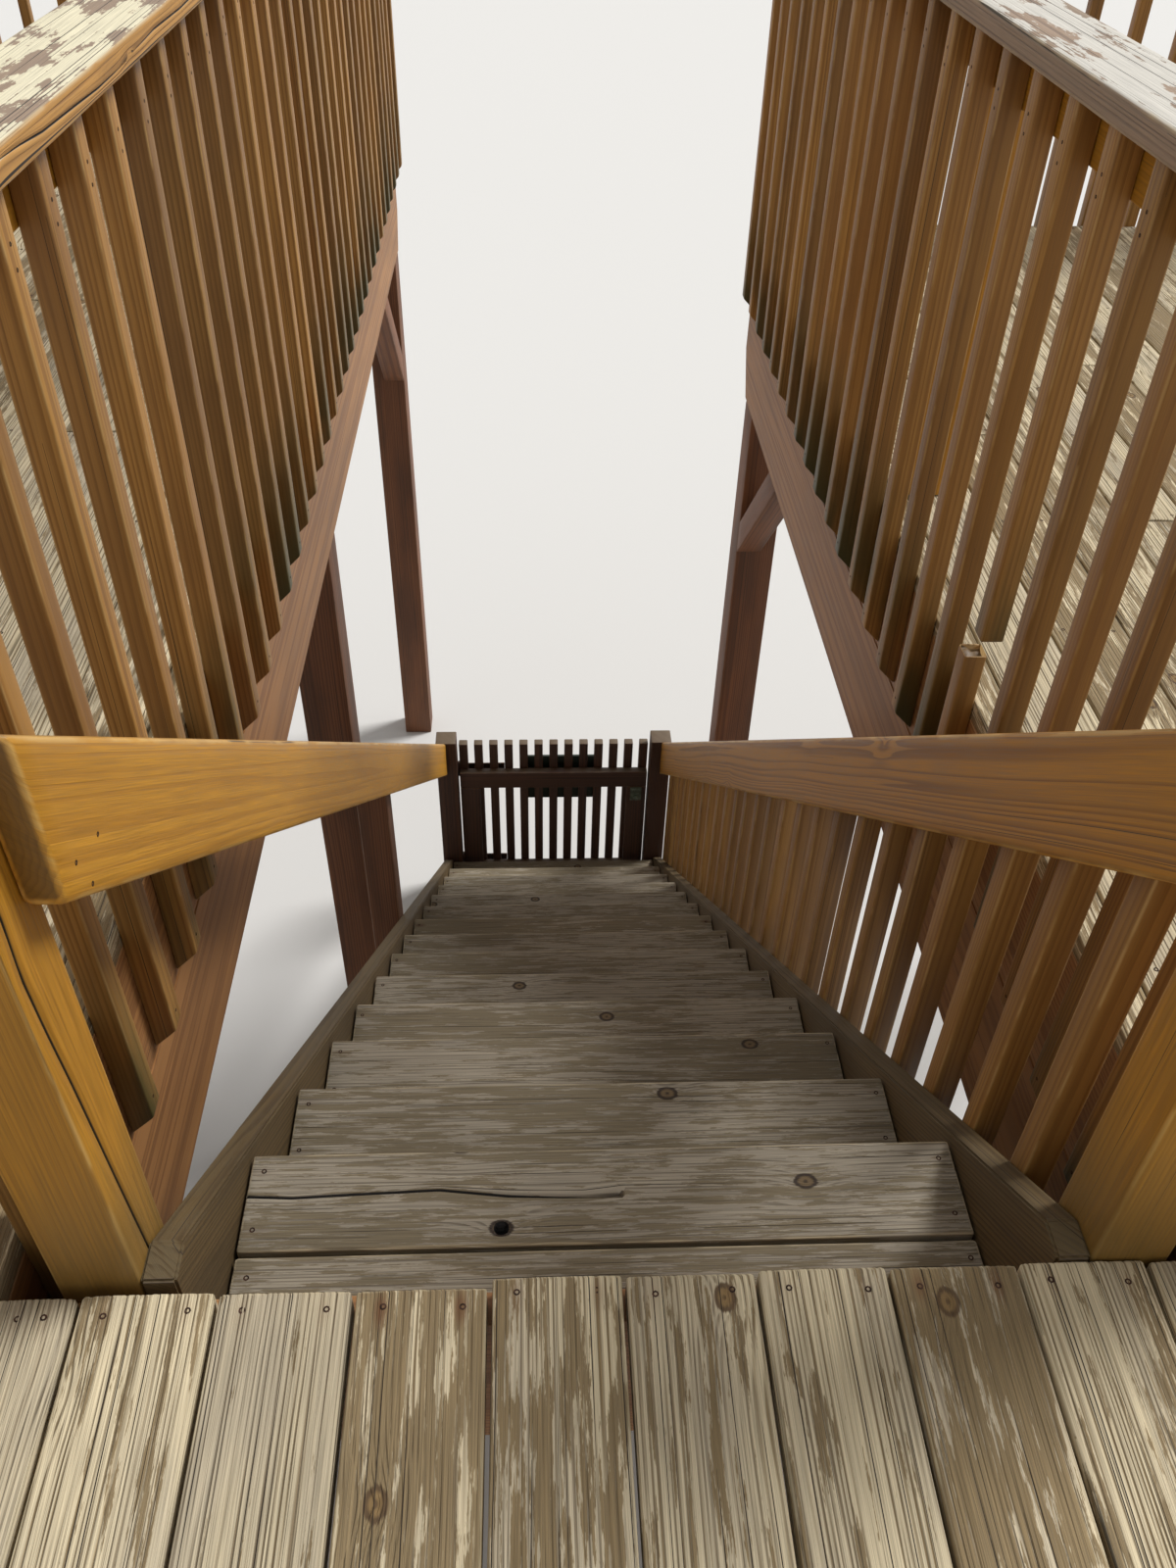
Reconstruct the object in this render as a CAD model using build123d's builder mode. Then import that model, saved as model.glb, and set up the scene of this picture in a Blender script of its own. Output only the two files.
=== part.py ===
"""Wooden deck stairs: a straight flight between two deck wings, with guards and a picket gate at its foot.

Millimetres. X runs across the flight, Y runs away from its head, Z is up from the ground.
Every size is read from the heads of the flight: y = 0 is the deck's edge, x = 0 the flight's middle.
"""
import os
from math import atan, ceil, cos
from build123d import *

os.makedirs("parts", exist_ok=True)

# sawn timber, dressed sizes
THICK = 38.0          # every board on edge or laid flat
STICK = 38.0          # square balusters and pickets
FOUR = 89.0
SIX = 140.0
TEN = 235.0
TWELVE = 286.0

# the flight
RISE = 207.0
RUN = 254.0
TREADS = 14
TREAD_GAP = 5.0
TREAD_PLAY = 3.0      # a tread's end to the stringer
TREAD_ROUND = 4.0
CLEAT_LONG = 250.0    # cleats under the treads' ends
CLEAR = 948.0         # between the stringers' inner faces
STRINGER_UP = 12.0    # stringer's top edge over the line of nosings
DECK_Z = RISE * (TREADS + 1)
TREAD_DEEP = 2 * SIX + TREAD_GAP
SLOPE = RISE / RUN
COS = cos(atan(SLOPE))
LEAD = TREAD_DEEP - RUN          # the line of nosings meets the deck's level here
HALF = CLEAR / 2
STR_OUT = HALF + THICK

# the deck
WELL = 1316.0         # between the two wings' rim faces
WING_L = 1762.0       # width of the left wing
WING_R = 2582.0
LONG_L = 5080.0       # how far the left wing runs on from the deck's edge
LONG_R = 3580.0
BACK = 1560.0         # depth of the deck at the head of the flight
JOIST_STEP = 406.0
WELL_X = WELL / 2
LEFT_X = -WELL_X - WING_L
RIGHT_X = WELL_X + WING_R

# guards round the wings
GUARD_H = 940.0
CAP_LAP = 24.0        # cap past the balusters
CAP_ROUND = 5.0
STICK_STEP = 150.0    # at most this, centre to centre
STICK_FIRST = 75.0
STICK_LAST = 55.0
STICK_DOWN = 262.0    # baluster feet under the deck's top
POST_EVERY = 2300.0

# handrails and their posts
RAIL_UP = 715.0       # rail's top over the line of nosings, plumb
RAIL_NEAR = 55.0
RAIL_ROUND = 7.0
POST_UNDER = 6.0      # posts' tops under the rail's top
MID_POST_Y = 2030.0
STAIR_STICK_FIRST = 183.0
STAIR_STICK_STEP = 139.0
STAIR_STICK_UNDER = 20.0
STAIR_STICK_FOOT = 60.0

# one baluster of the right guard is broken off, with a shorter one nailed on beside its foot
BROKEN_Y = 975.0      # the baluster nearest to this place is broken
BROKEN_UP = 150.0
MEND_UP = 95.0
MEND_SHIFT = 44.0

# gate at the foot
FOOT_GAP = 13.0       # last nosing to the foot posts
FOOT_IN = 44.0        # foot posts' inner faces inside the stringers' inner faces
GATE_SWING_GAP = 8.0
GATE_SET = 25.0       # gate's inner face behind the foot posts' near faces
GATE_LOW = 60.0
GATE_RAIL_TOP = 720.0
PICKETS = 13
PICKET_TOP = 855.0
SIGN_W = 340.0
SIGN_H = 250.0
SIGN_X = 50.0
SIGN_TOP = 755.0
SIGN_T = 12.0
STRAP_T = 5.0
STRAP_LONG = 200.0
STRAP_HIGH = 40.0
KNUCKLE_R = 8.0
PIN_R = 4.0
PIN_PLAY = 0.3        # between the knuckles, and round the pin
BRACKET_W = 60.0
LATCH_W = 50.0
LATCH_H = 70.0
LATCH_T = 12.0
LATCH_IN = 22.0       # from the gate's free edge
LATCH_LOW = 560.0
LATCH_ROUND = 4.0
KNOB_R = 11.0
KNOB_OUT = 22.0       # the knob beyond the case
KNOB_NECK_R = 6.0
KNOB_UP = 24.0        # its middle above the case's foot

# under the deck
BEAM_T = 2 * THICK
SUPPORT_R = [3330.0, -60.0, -1420.0]
SUPPORT_L = [4830.0, 2420.0, -60.0, -1420.0]
BRACE_LEG = 520.0

LAST_NOSE = TREAD_DEEP + RUN * (TREADS - 1)
FOOT_Y = LAST_NOSE + FOOT_GAP
FOOT_X = HALF - FOOT_IN
FLOOR_LOW = DECK_Z - THICK
JOIST_LOW = FLOOR_LOW - TEN
BEAM_LOW = JOIST_LOW - TWELVE
CAP_LOW = DECK_Z + GUARD_H - THICK
STICK_LOW = DECK_Z - STICK_DOWN
STICK_X = WELL_X - STICK

# the frame's origin sits under the middle of the whole
REACH_L = LEFT_X - STICK - CAP_LAP
REACH_R = RIGHT_X + STICK + CAP_LAP
REACH_FAR = max(LONG_L, LONG_R) + STICK + CAP_LAP
REACH_NEAR = -BACK
MID_X = (REACH_L + REACH_R) / 2
MID_Y = (REACH_NEAR + REACH_FAR) / 2


def block(x0, x1, y0, y1, z0, z1):
    """A square-edged timber between two corners."""
    with Locations(((x0 + x1) / 2 - MID_X, (y0 + y1) / 2 - MID_Y, (z0 + z1) / 2)):
        Box(x1 - x0, y1 - y0, z1 - z0)


def plate_yz(x0, x1, points):
    """A board cut to an outline in Y and Z, from x0 to x1."""
    with BuildSketch(Plane.YZ.offset(x0 - MID_X)) as outline:
        with BuildLine():
            Polyline([(y - MID_Y, z) for y, z in points], close=True)
        make_face()
    extrude(outline.sketch, amount=x1 - x0)


def plate_xz(y0, y1, points):
    """A board cut to an outline in X and Z, from y0 to y1."""
    with BuildSketch(Plane.XZ.offset(MID_Y - y1)) as outline:
        with BuildLine():
            Polyline([(x - MID_X, z) for x, z in points], close=True)
        make_face()
    extrude(outline.sketch, amount=y1 - y0)


def nosing(y):
    """Height of the line of nosings at y."""
    return DECK_Z - SLOPE * (y - LEAD)


# decking, one slab a field
with BuildPart() as deck_floor_head:
    block(LEFT_X, RIGHT_X, -BACK, 0, FLOOR_LOW, DECK_Z)

with BuildPart() as deck_floor_left:
    block(LEFT_X, -WELL_X, 0, LONG_L, FLOOR_LOW, DECK_Z)

with BuildPart() as deck_floor_right:
    block(WELL_X, RIGHT_X, 0, LONG_R, FLOOR_LOW, DECK_Z)

# treads, two boards each
with BuildPart() as tread_front_boards:
    for i in range(TREADS):
        nose = TREAD_DEEP + RUN * i
        top = DECK_Z - RISE * (i + 1)
        block(-HALF + TREAD_PLAY, HALF - TREAD_PLAY, nose - SIX, nose, top - THICK, top)
    fillet(tread_front_boards.edges().filter_by(Axis.X), TREAD_ROUND)

with BuildPart() as tread_back_boards:
    for i in range(TREADS):
        back = RUN * i
        top = DECK_Z - RISE * (i + 1)
        block(-HALF + TREAD_PLAY, HALF - TREAD_PLAY, back, back + SIX, top - THICK, top)
    fillet(tread_back_boards.edges().filter_by(Axis.X), TREAD_ROUND)

# cleats on the stringers carry the treads' ends
with BuildPart() as tread_cleats:
    for i in range(TREADS):
        mid = RUN * i + TREAD_DEEP / 2
        top = DECK_Z - RISE * (i + 1) - THICK
        block(-HALF, -HALF + STICK, mid - CLEAT_LONG / 2, mid + CLEAT_LONG / 2, top - STICK, top)
        block(HALF - STICK, HALF, mid - CLEAT_LONG / 2, mid + CLEAT_LONG / 2, top - STICK, top)

# closed stringers
STR_DEEP = TWELVE / COS
STR_FLAT_Y = LEAD + STRINGER_UP / SLOPE
STR_END_Z = nosing(FOOT_Y) + STRINGER_UP
STR_HEEL_Y = LEAD + (DECK_Z + STRINGER_UP - STR_DEEP) / SLOPE
STR_BACK_Z = nosing(0) + STRINGER_UP - STR_DEEP
stringer_line = [
    (0, STR_BACK_Z),
    (0, DECK_Z),
    (STR_FLAT_Y, DECK_Z),
    (FOOT_Y, STR_END_Z),
    (FOOT_Y, 0),
    (min(STR_HEEL_Y, FOOT_Y - 20), 0),
]

with BuildPart() as stringer_left:
    plate_yz(-STR_OUT, -HALF, stringer_line)

with BuildPart() as stringer_right:
    plate_yz(HALF, STR_OUT, stringer_line)

# handrails on edge
RAIL_DEEP = SIX / COS
rail_line = [
    (RAIL_NEAR, nosing(RAIL_NEAR) + RAIL_UP - RAIL_DEEP),
    (RAIL_NEAR, nosing(RAIL_NEAR) + RAIL_UP),
    (FOOT_Y, nosing(FOOT_Y) + RAIL_UP),
    (FOOT_Y, nosing(FOOT_Y) + RAIL_UP - RAIL_DEEP),
]

with BuildPart() as handrail_left:
    plate_yz(-STR_OUT, -HALF, rail_line)
    fillet(handrail_left.edges().filter_by(lambda e: e.length > FOUR * 10), RAIL_ROUND)

with BuildPart() as handrail_right:
    plate_yz(HALF, STR_OUT, rail_line)
    fillet(handrail_right.edges().filter_by(lambda e: e.length > FOUR * 10), RAIL_ROUND)


def post_line(y):
    """A post of the flight from the ground up, its top cut to the rail's slope."""
    return [
        (y, 0),
        (y, nosing(y) + RAIL_UP - POST_UNDER),
        (y + FOUR, nosing(y + FOUR) + RAIL_UP - POST_UNDER),
        (y + FOUR, 0),
    ]


FOOT_POST_TOP = nosing(FOOT_Y) + RAIL_UP

with BuildPart() as stair_posts_left:
    plate_yz(-STR_OUT - FOUR, -STR_OUT, post_line(0))
    plate_yz(-STR_OUT - FOUR, -STR_OUT, post_line(MID_POST_Y))

with BuildPart() as stair_post_right:
    plate_yz(STR_OUT, STR_OUT + FOUR, post_line(0))

with BuildPart() as foot_posts:
    block(-FOOT_X - FOUR, -FOOT_X, FOOT_Y, FOOT_Y + FOUR, 0, FOOT_POST_TOP)
    block(FOOT_X, FOOT_X + FOUR, FOOT_Y, FOOT_Y + FOUR, 0, FOOT_POST_TOP)

# balusters beside the flight, right side only, on the outer faces of stringer and rail
STAIR_STICKS = int((FOOT_Y - STAIR_STICK_FIRST - STICK) / STAIR_STICK_STEP) + 1
STICK_TO_EDGE = STRINGER_UP - STR_DEEP + STAIR_STICK_FOOT


def stair_stick_line(y):
    """A baluster cut plumb, with its ends on the slope and none under the ground."""
    y0 = y - STICK / 2
    y1 = y + STICK / 2
    return [
        (y0, max(nosing(y0) + STICK_TO_EDGE, 0)),
        (y0, nosing(y0) + RAIL_UP - STAIR_STICK_UNDER),
        (y1, nosing(y1) + RAIL_UP - STAIR_STICK_UNDER),
        (y1, max(nosing(y1) + STICK_TO_EDGE, 0)),
    ]


with BuildPart() as stair_balusters:
    for i in range(STAIR_STICKS):
        plate_yz(STR_OUT, STR_OUT + STICK, stair_stick_line(STAIR_STICK_FIRST + STAIR_STICK_STEP * i))

# gate, closed in its opening
GATE_X = FOOT_X - GATE_SWING_GAP
GATE_IN = FOOT_Y + GATE_SET
GATE_MID = GATE_IN + THICK
GATE_OUT = GATE_MID + STICK

with BuildPart() as gate_stiles:
    block(-GATE_X, -GATE_X + FOUR, GATE_IN, GATE_MID, GATE_LOW + FOUR, GATE_RAIL_TOP - FOUR)
    block(GATE_X - FOUR, GATE_X, GATE_IN, GATE_MID, GATE_LOW + FOUR, GATE_RAIL_TOP - FOUR)

with BuildPart() as gate_rails:
    block(-GATE_X, GATE_X, GATE_IN, GATE_MID, GATE_LOW, GATE_LOW + FOUR)
    block(-GATE_X, GATE_X, GATE_IN, GATE_MID, GATE_RAIL_TOP - FOUR, GATE_RAIL_TOP)

PICKET_STEP = (2 * GATE_X - STICK) / (PICKETS - 1)

with BuildPart() as gate_pickets:
    for i in range(PICKETS):
        x = -GATE_X + PICKET_STEP * i
        block(x, x + STICK, GATE_MID, GATE_OUT, GATE_LOW, PICKET_TOP)

with BuildPart() as gate_sign_board:
    block(SIGN_X - SIGN_W / 2, SIGN_X + SIGN_W / 2, GATE_OUT, GATE_OUT + SIGN_T, SIGN_TOP - SIGN_H, SIGN_TOP)

with BuildPart() as gate_latch:
    latch_x = GATE_X - LATCH_IN - LATCH_W / 2
    block(latch_x - LATCH_W / 2, latch_x + LATCH_W / 2, GATE_IN - LATCH_T, GATE_IN, LATCH_LOW, LATCH_LOW + LATCH_H)
    fillet(gate_latch.faces().sort_by(Axis.Y)[0].edges(), LATCH_ROUND)
    knob_at = (latch_x - MID_X, GATE_IN - LATCH_T - MID_Y, LATCH_LOW + KNOB_UP)
    with BuildSketch(Plane(knob_at, x_dir=(1, 0, 0), z_dir=(0, -1, 0))):
        Circle(KNOB_NECK_R)
    extrude(amount=KNOB_OUT - KNOB_R)
    with Locations(Vector(knob_at) - Vector(0, KNOB_OUT - KNOB_R, 0)):
        Sphere(KNOB_R)

# hinges: the post keeps the lower knuckle, the gate carries the upper one
PIN_X = -FOOT_X + GATE_SWING_GAP / 2
PIN_Y = GATE_OUT + STRAP_T + KNUCKLE_R
HINGE_Z = [GATE_LOW + FOUR / 2, GATE_RAIL_TOP - FOUR / 2]


def barrel(radius, z0, z1, mode=Mode.ADD):
    """An upright round on the hinge line."""
    with Locations((PIN_X - MID_X, PIN_Y - MID_Y, (z0 + z1) / 2)):
        Cylinder(radius, z1 - z0, mode=mode)


with BuildPart() as hinge_brackets:
    for z in HINGE_Z:
        low = z - STRAP_HIGH
        block(-FOOT_X - 10 - BRACKET_W, -FOOT_X - 10, FOOT_Y + FOUR, PIN_Y, low, z)
        block(-FOOT_X - 10, PIN_X, PIN_Y - STRAP_T / 2, PIN_Y + STRAP_T / 2, low, z)
        barrel(KNUCKLE_R, low, z)
        barrel(PIN_R, z, z + STRAP_HIGH)

with BuildPart() as hinge_straps:
    for z in HINGE_Z:
        low = z + PIN_PLAY
        high = z + STRAP_HIGH
        block(-GATE_X + 4, -GATE_X + STRAP_LONG, GATE_OUT, GATE_OUT + STRAP_T, low, high)
        block(PIN_X, -GATE_X + 16, GATE_OUT + STRAP_T - 1, PIN_Y + STRAP_T / 2, low, high)
        barrel(KNUCKLE_R, low, high)
        barrel(PIN_R + PIN_PLAY, low, high, Mode.SUBTRACT)

# rims and joists
with BuildPart() as rims_stairwell:
    block(-WELL_X - THICK, -WELL_X, 0, LONG_L, JOIST_LOW, FLOOR_LOW)
    block(WELL_X, WELL_X + THICK, 0, LONG_R, JOIST_LOW, FLOOR_LOW)

with BuildPart() as rims_outer:
    block(LEFT_X, LEFT_X + THICK, -BACK, LONG_L, JOIST_LOW, FLOOR_LOW)
    block(RIGHT_X - THICK, RIGHT_X, -BACK, LONG_R, JOIST_LOW, FLOOR_LOW)

with BuildPart() as rims_wing_ends:
    block(LEFT_X + THICK, -WELL_X - THICK, LONG_L - THICK, LONG_L, JOIST_LOW, FLOOR_LOW)
    block(WELL_X + THICK, RIGHT_X - THICK, LONG_R - THICK, LONG_R, JOIST_LOW, FLOOR_LOW)

with BuildPart() as header_stairwell:
    block(-WELL_X, WELL_X, -THICK, 0, FLOOR_LOW - TWELVE, FLOOR_LOW)

with BuildPart() as joists_head:
    block(LEFT_X + THICK, -WELL_X, -THICK, 0, JOIST_LOW, FLOOR_LOW)
    block(WELL_X, RIGHT_X - THICK, -THICK, 0, JOIST_LOW, FLOOR_LOW)
    count = int((BACK - 2 * THICK) / JOIST_STEP)
    for i in range(count):
        y = -THICK - (BACK - 2 * THICK) * (i + 1) / (count + 1)
        block(LEFT_X + THICK, RIGHT_X - THICK, y - THICK / 2, y + THICK / 2, JOIST_LOW, FLOOR_LOW)
    block(LEFT_X + THICK, RIGHT_X - THICK, -BACK, -BACK + THICK, JOIST_LOW, FLOOR_LOW)

with BuildPart() as joists_left:
    for i in range(int((LONG_L - 2 * THICK) / JOIST_STEP)):
        y = JOIST_STEP * (i + 1)
        block(LEFT_X + THICK, -WELL_X - THICK, y - THICK / 2, y + THICK / 2, JOIST_LOW, FLOOR_LOW)

with BuildPart() as joists_right:
    for i in range(int((LONG_R - 2 * THICK) / JOIST_STEP)):
        y = JOIST_STEP * (i + 1)
        block(WELL_X + THICK, RIGHT_X - THICK, y - THICK / 2, y + THICK / 2, JOIST_LOW, FLOOR_LOW)


def beam_line(y_far):
    """Outline of a dropped beam, its far end cut back in a step."""
    step = TWELVE / 2
    return [
        (-BACK + THICK, BEAM_LOW),
        (-BACK + THICK, JOIST_LOW),
        (y_far, JOIST_LOW),
        (y_far, BEAM_LOW + step),
        (y_far - 90, BEAM_LOW),
    ]


with BuildPart() as beams_left:
    plate_yz(LEFT_X, LEFT_X + BEAM_T, beam_line(LONG_L))
    plate_yz(-WELL_X - BEAM_T, -WELL_X, beam_line(LONG_L))

with BuildPart() as beams_right:
    plate_yz(WELL_X, WELL_X + BEAM_T, beam_line(LONG_R))
    plate_yz(RIGHT_X - BEAM_T, RIGHT_X, beam_line(LONG_R))

with BuildPart() as support_posts_left:
    for y in SUPPORT_L:
        block(LEFT_X, LEFT_X + SIX, y, y + SIX, 0, BEAM_LOW)
        block(-WELL_X - SIX, -WELL_X, y, y + SIX, 0, BEAM_LOW)

with BuildPart() as support_posts_right:
    for y in SUPPORT_R:
        block(WELL_X, WELL_X + SIX, y, y + SIX, 0, BEAM_LOW)
        block(RIGHT_X - SIX, RIGHT_X, y, y + SIX, 0, BEAM_LOW)


def brace_line(y):
    """Outline of a knee brace from a post's near face up to the beam."""
    leg = BRACE_LEG
    wide = FOUR * 1.4142
    return [
        (y, BEAM_LOW - leg),
        (y, BEAM_LOW - leg + wide),
        (y - leg + wide, BEAM_LOW),
        (y - leg, BEAM_LOW),
    ]


with BuildPart() as knee_braces:
    plate_yz(WELL_X, WELL_X + FOUR, brace_line(SUPPORT_R[0]))
    plate_yz(RIGHT_X - FOUR, RIGHT_X, brace_line(SUPPORT_R[0]))
    plate_yz(-WELL_X - FOUR, -WELL_X, brace_line(SUPPORT_L[0]))
    plate_yz(LEFT_X, LEFT_X + FOUR, brace_line(SUPPORT_L[0]))


# guards: balusters outside the rims, a sub-rail on edge and a flat cap over both


def stick_line(rim, way):
    """Outline of a guard's baluster, its slanting foot longest against the rim."""
    out = rim + way * STICK
    return [
        (rim, CAP_LOW),
        (out, CAP_LOW),
        (out, STICK_LOW + STICK),
        (rim, STICK_LOW),
    ]


def spread(start, end):
    """Middles of a guard's balusters, evenly spread between start and end."""
    room = end - start - STICK_FIRST - STICK_LAST
    bays = max(ceil(room / STICK_STEP - 0.001), 1)
    return [start + STICK_FIRST + room * i / bays for i in range(bays + 1)]


def sticks_along_y(x_rim, way, y0, y1, left_out=None):
    """Balusters down a rim that runs in Y, way is the side they stand on."""
    for y in spread(y0, y1):
        if y != left_out:
            plate_xz(y - STICK / 2, y + STICK / 2, stick_line(x_rim, way))


def sticks_along_x(y_rim, x0, x1):
    """Balusters on the outside of a rim that runs in X."""
    for x in spread(x0, x1):
        plate_yz(x - STICK / 2, x + STICK / 2, stick_line(y_rim, 1))


with BuildPart() as balusters_well_left:
    sticks_along_y(-WELL_X, 1, 0, LONG_L)

with BuildPart() as balusters_well_right:
    y = min(spread(0, LONG_R), key=lambda place: abs(place - BROKEN_Y))
    sticks_along_y(WELL_X, -1, 0, LONG_R, y)
    block(STICK_X, WELL_X, y - STICK / 2, y + STICK / 2, DECK_Z + BROKEN_UP, CAP_LOW)
    y = y + MEND_SHIFT
    block(STICK_X, WELL_X, y - STICK / 2, y + STICK / 2, STICK_LOW, DECK_Z + MEND_UP)

with BuildPart() as balusters_outer_left:
    sticks_along_y(LEFT_X, -1, -BACK, LONG_L)

with BuildPart() as balusters_outer_right:
    sticks_along_y(RIGHT_X, 1, -BACK, LONG_R)

with BuildPart() as balusters_end_left:
    sticks_along_x(LONG_L, LEFT_X, -WELL_X)

with BuildPart() as balusters_end_right:
    sticks_along_x(LONG_R, WELL_X, RIGHT_X)

SUB_LOW = CAP_LOW - FOUR

with BuildPart() as sub_rails:
    block(-WELL_X - THICK, -WELL_X, 0, LONG_L - THICK, SUB_LOW, CAP_LOW)
    block(WELL_X, WELL_X + THICK, 0, LONG_R - THICK, SUB_LOW, CAP_LOW)
    block(LEFT_X, LEFT_X + THICK, -BACK, LONG_L - THICK, SUB_LOW, CAP_LOW)
    block(RIGHT_X - THICK, RIGHT_X, -BACK, LONG_R - THICK, SUB_LOW, CAP_LOW)

with BuildPart() as sub_rails_ends:
    block(LEFT_X, -WELL_X, LONG_L - THICK, LONG_L, SUB_LOW, CAP_LOW)
    block(WELL_X, RIGHT_X, LONG_R - THICK, LONG_R, SUB_LOW, CAP_LOW)

CAP_IN = STICK + CAP_LAP
CAP_BACK = SIX - CAP_IN

with BuildPart() as caps_sides:
    block(-WELL_X - CAP_BACK, -WELL_X + CAP_IN, 0, LONG_L - CAP_BACK, CAP_LOW, CAP_LOW + THICK)
    block(WELL_X - CAP_IN, WELL_X + CAP_BACK, 0, LONG_R - CAP_BACK, CAP_LOW, CAP_LOW + THICK)
    block(LEFT_X - CAP_IN, LEFT_X + CAP_BACK, -BACK, LONG_L - CAP_BACK, CAP_LOW, CAP_LOW + THICK)
    block(RIGHT_X - CAP_BACK, RIGHT_X + CAP_IN, -BACK, LONG_R - CAP_BACK, CAP_LOW, CAP_LOW + THICK)
    fillet(caps_sides.edges().filter_by(Axis.Y), CAP_ROUND)

with BuildPart() as caps_ends:
    block(LEFT_X - CAP_IN, -WELL_X + CAP_IN, LONG_L - CAP_BACK, LONG_L + CAP_IN, CAP_LOW, CAP_LOW + THICK)
    block(WELL_X - CAP_IN, RIGHT_X + CAP_IN, LONG_R - CAP_BACK, LONG_R + CAP_IN, CAP_LOW, CAP_LOW + THICK)
    fillet(caps_ends.edges().filter_by(Axis.X), CAP_ROUND)


def guard_posts_along(x0, y0, y1):
    """Square posts inside a side guard, from the deck to the cap."""
    bays = max(int((y1 - y0) / POST_EVERY + 0.5), 1)
    for i in range(bays + 1):
        y = y0 + (y1 - y0 - FOUR) * i / bays
        block(x0, x0 + FOUR, y, y + FOUR, DECK_Z, CAP_LOW)


with BuildPart() as guard_posts_left:
    guard_posts_along(-WELL_X - THICK - FOUR, 0, LONG_L - THICK)
    guard_posts_along(LEFT_X + THICK, -BACK, LONG_L - THICK)

with BuildPart() as guard_posts_right:
    guard_posts_along(WELL_X + THICK, 0, LONG_R - THICK)
    guard_posts_along(RIGHT_X - THICK - FOUR, -BACK, LONG_R - THICK)

NODES = {
    "deck_floor_head": deck_floor_head,
    "deck_floor_left": deck_floor_left,
    "deck_floor_right": deck_floor_right,
    "tread_front_boards": tread_front_boards,
    "tread_back_boards": tread_back_boards,
    "tread_cleats": tread_cleats,
    "stringer_left": stringer_left,
    "stringer_right": stringer_right,
    "handrail_left": handrail_left,
    "handrail_right": handrail_right,
    "stair_posts_left": stair_posts_left,
    "stair_post_right": stair_post_right,
    "foot_posts": foot_posts,
    "stair_balusters": stair_balusters,
    "gate_stiles": gate_stiles,
    "gate_rails": gate_rails,
    "gate_pickets": gate_pickets,
    "gate_sign_board": gate_sign_board,
    "gate_latch": gate_latch,
    "hinge_brackets": hinge_brackets,
    "hinge_straps": hinge_straps,
    "rims_stairwell": rims_stairwell,
    "rims_outer": rims_outer,
    "rims_wing_ends": rims_wing_ends,
    "header_stairwell": header_stairwell,
    "joists_head": joists_head,
    "joists_left": joists_left,
    "joists_right": joists_right,
    "beams_left": beams_left,
    "beams_right": beams_right,
    "support_posts_left": support_posts_left,
    "support_posts_right": support_posts_right,
    "knee_braces": knee_braces,
    "balusters_well_left": balusters_well_left,
    "balusters_well_right": balusters_well_right,
    "balusters_outer_left": balusters_outer_left,
    "balusters_outer_right": balusters_outer_right,
    "balusters_end_left": balusters_end_left,
    "balusters_end_right": balusters_end_right,
    "sub_rails": sub_rails,
    "sub_rails_ends": sub_rails_ends,
    "caps_sides": caps_sides,
    "caps_ends": caps_ends,
    "guard_posts_left": guard_posts_left,
    "guard_posts_right": guard_posts_right,
}

for name, node in NODES.items():
    node.part.label = name
    export_step(node.part, "parts/" + name + ".step")
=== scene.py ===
"""Looks of the wooden deck stairs: weathered softwood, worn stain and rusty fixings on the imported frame."""
import itertools
import math
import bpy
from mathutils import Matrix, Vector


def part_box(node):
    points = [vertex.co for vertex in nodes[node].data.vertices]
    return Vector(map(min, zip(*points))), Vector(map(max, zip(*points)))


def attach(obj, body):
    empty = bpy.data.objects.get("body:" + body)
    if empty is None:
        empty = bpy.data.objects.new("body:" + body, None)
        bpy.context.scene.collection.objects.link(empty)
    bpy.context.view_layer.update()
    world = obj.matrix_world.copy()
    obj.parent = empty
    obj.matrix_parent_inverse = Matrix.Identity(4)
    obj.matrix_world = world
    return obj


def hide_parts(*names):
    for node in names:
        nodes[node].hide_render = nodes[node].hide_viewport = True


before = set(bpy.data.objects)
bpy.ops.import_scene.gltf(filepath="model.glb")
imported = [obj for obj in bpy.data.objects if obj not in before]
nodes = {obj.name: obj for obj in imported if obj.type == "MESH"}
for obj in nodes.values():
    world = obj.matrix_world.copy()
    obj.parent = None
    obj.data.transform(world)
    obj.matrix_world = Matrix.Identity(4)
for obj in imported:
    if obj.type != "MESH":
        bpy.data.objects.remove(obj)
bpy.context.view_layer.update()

from types import SimpleNamespace

import bmesh
import bpy
import numpy as np
from mathutils import Matrix, Vector, bvhtree

scene = bpy.context.scene
MM = 0.001
UP = (0, 0, 1)
RIGHTWARD = (1, 0, 0)     # the way that what stands left of the flight faces it

# the photograph's view, worked out from the flight's own size
IMAGE_HIGH = 1600
FOCAL_PIXELS = 1279.37
SENSOR_HIGH = 36.0
CAMERA_AT = Vector((-0.5024, -2.4639, 4.3784))
CAMERA_DOWN = math.radians(40.88)
CAMERA_YAW = math.radians(3.308)
CAMERA_ROLL = math.radians(-1.664)
CLIP_NEAR = 0.02
CLIP_FAR = 300.0

# light
WORLD_LEVEL = 0.48
KEY_LEVEL = 2.9
KEY_SOFT = math.radians(18)
KEY_FROM = Vector((1.0, 0.45, 1.2))
FLOOR_HALF = 70.0

# the flight and its guards
STEP_RUN = 254            # in millimetres
STEP_RISE = 207
TREADS = 14
TREAD_THICK = 38 * MM
BALUSTER = 38 * MM
TOP = 940 * MM            # guard caps above the deck
NEAR_POST = (-0.55, 0.04)           # the post and the cap beside the flight's head on the left, in plan
NEAR_CAP = (-0.65, 1.0)
RAIL_FACE = -0.474        # the left handrail's face towards the flight

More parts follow.
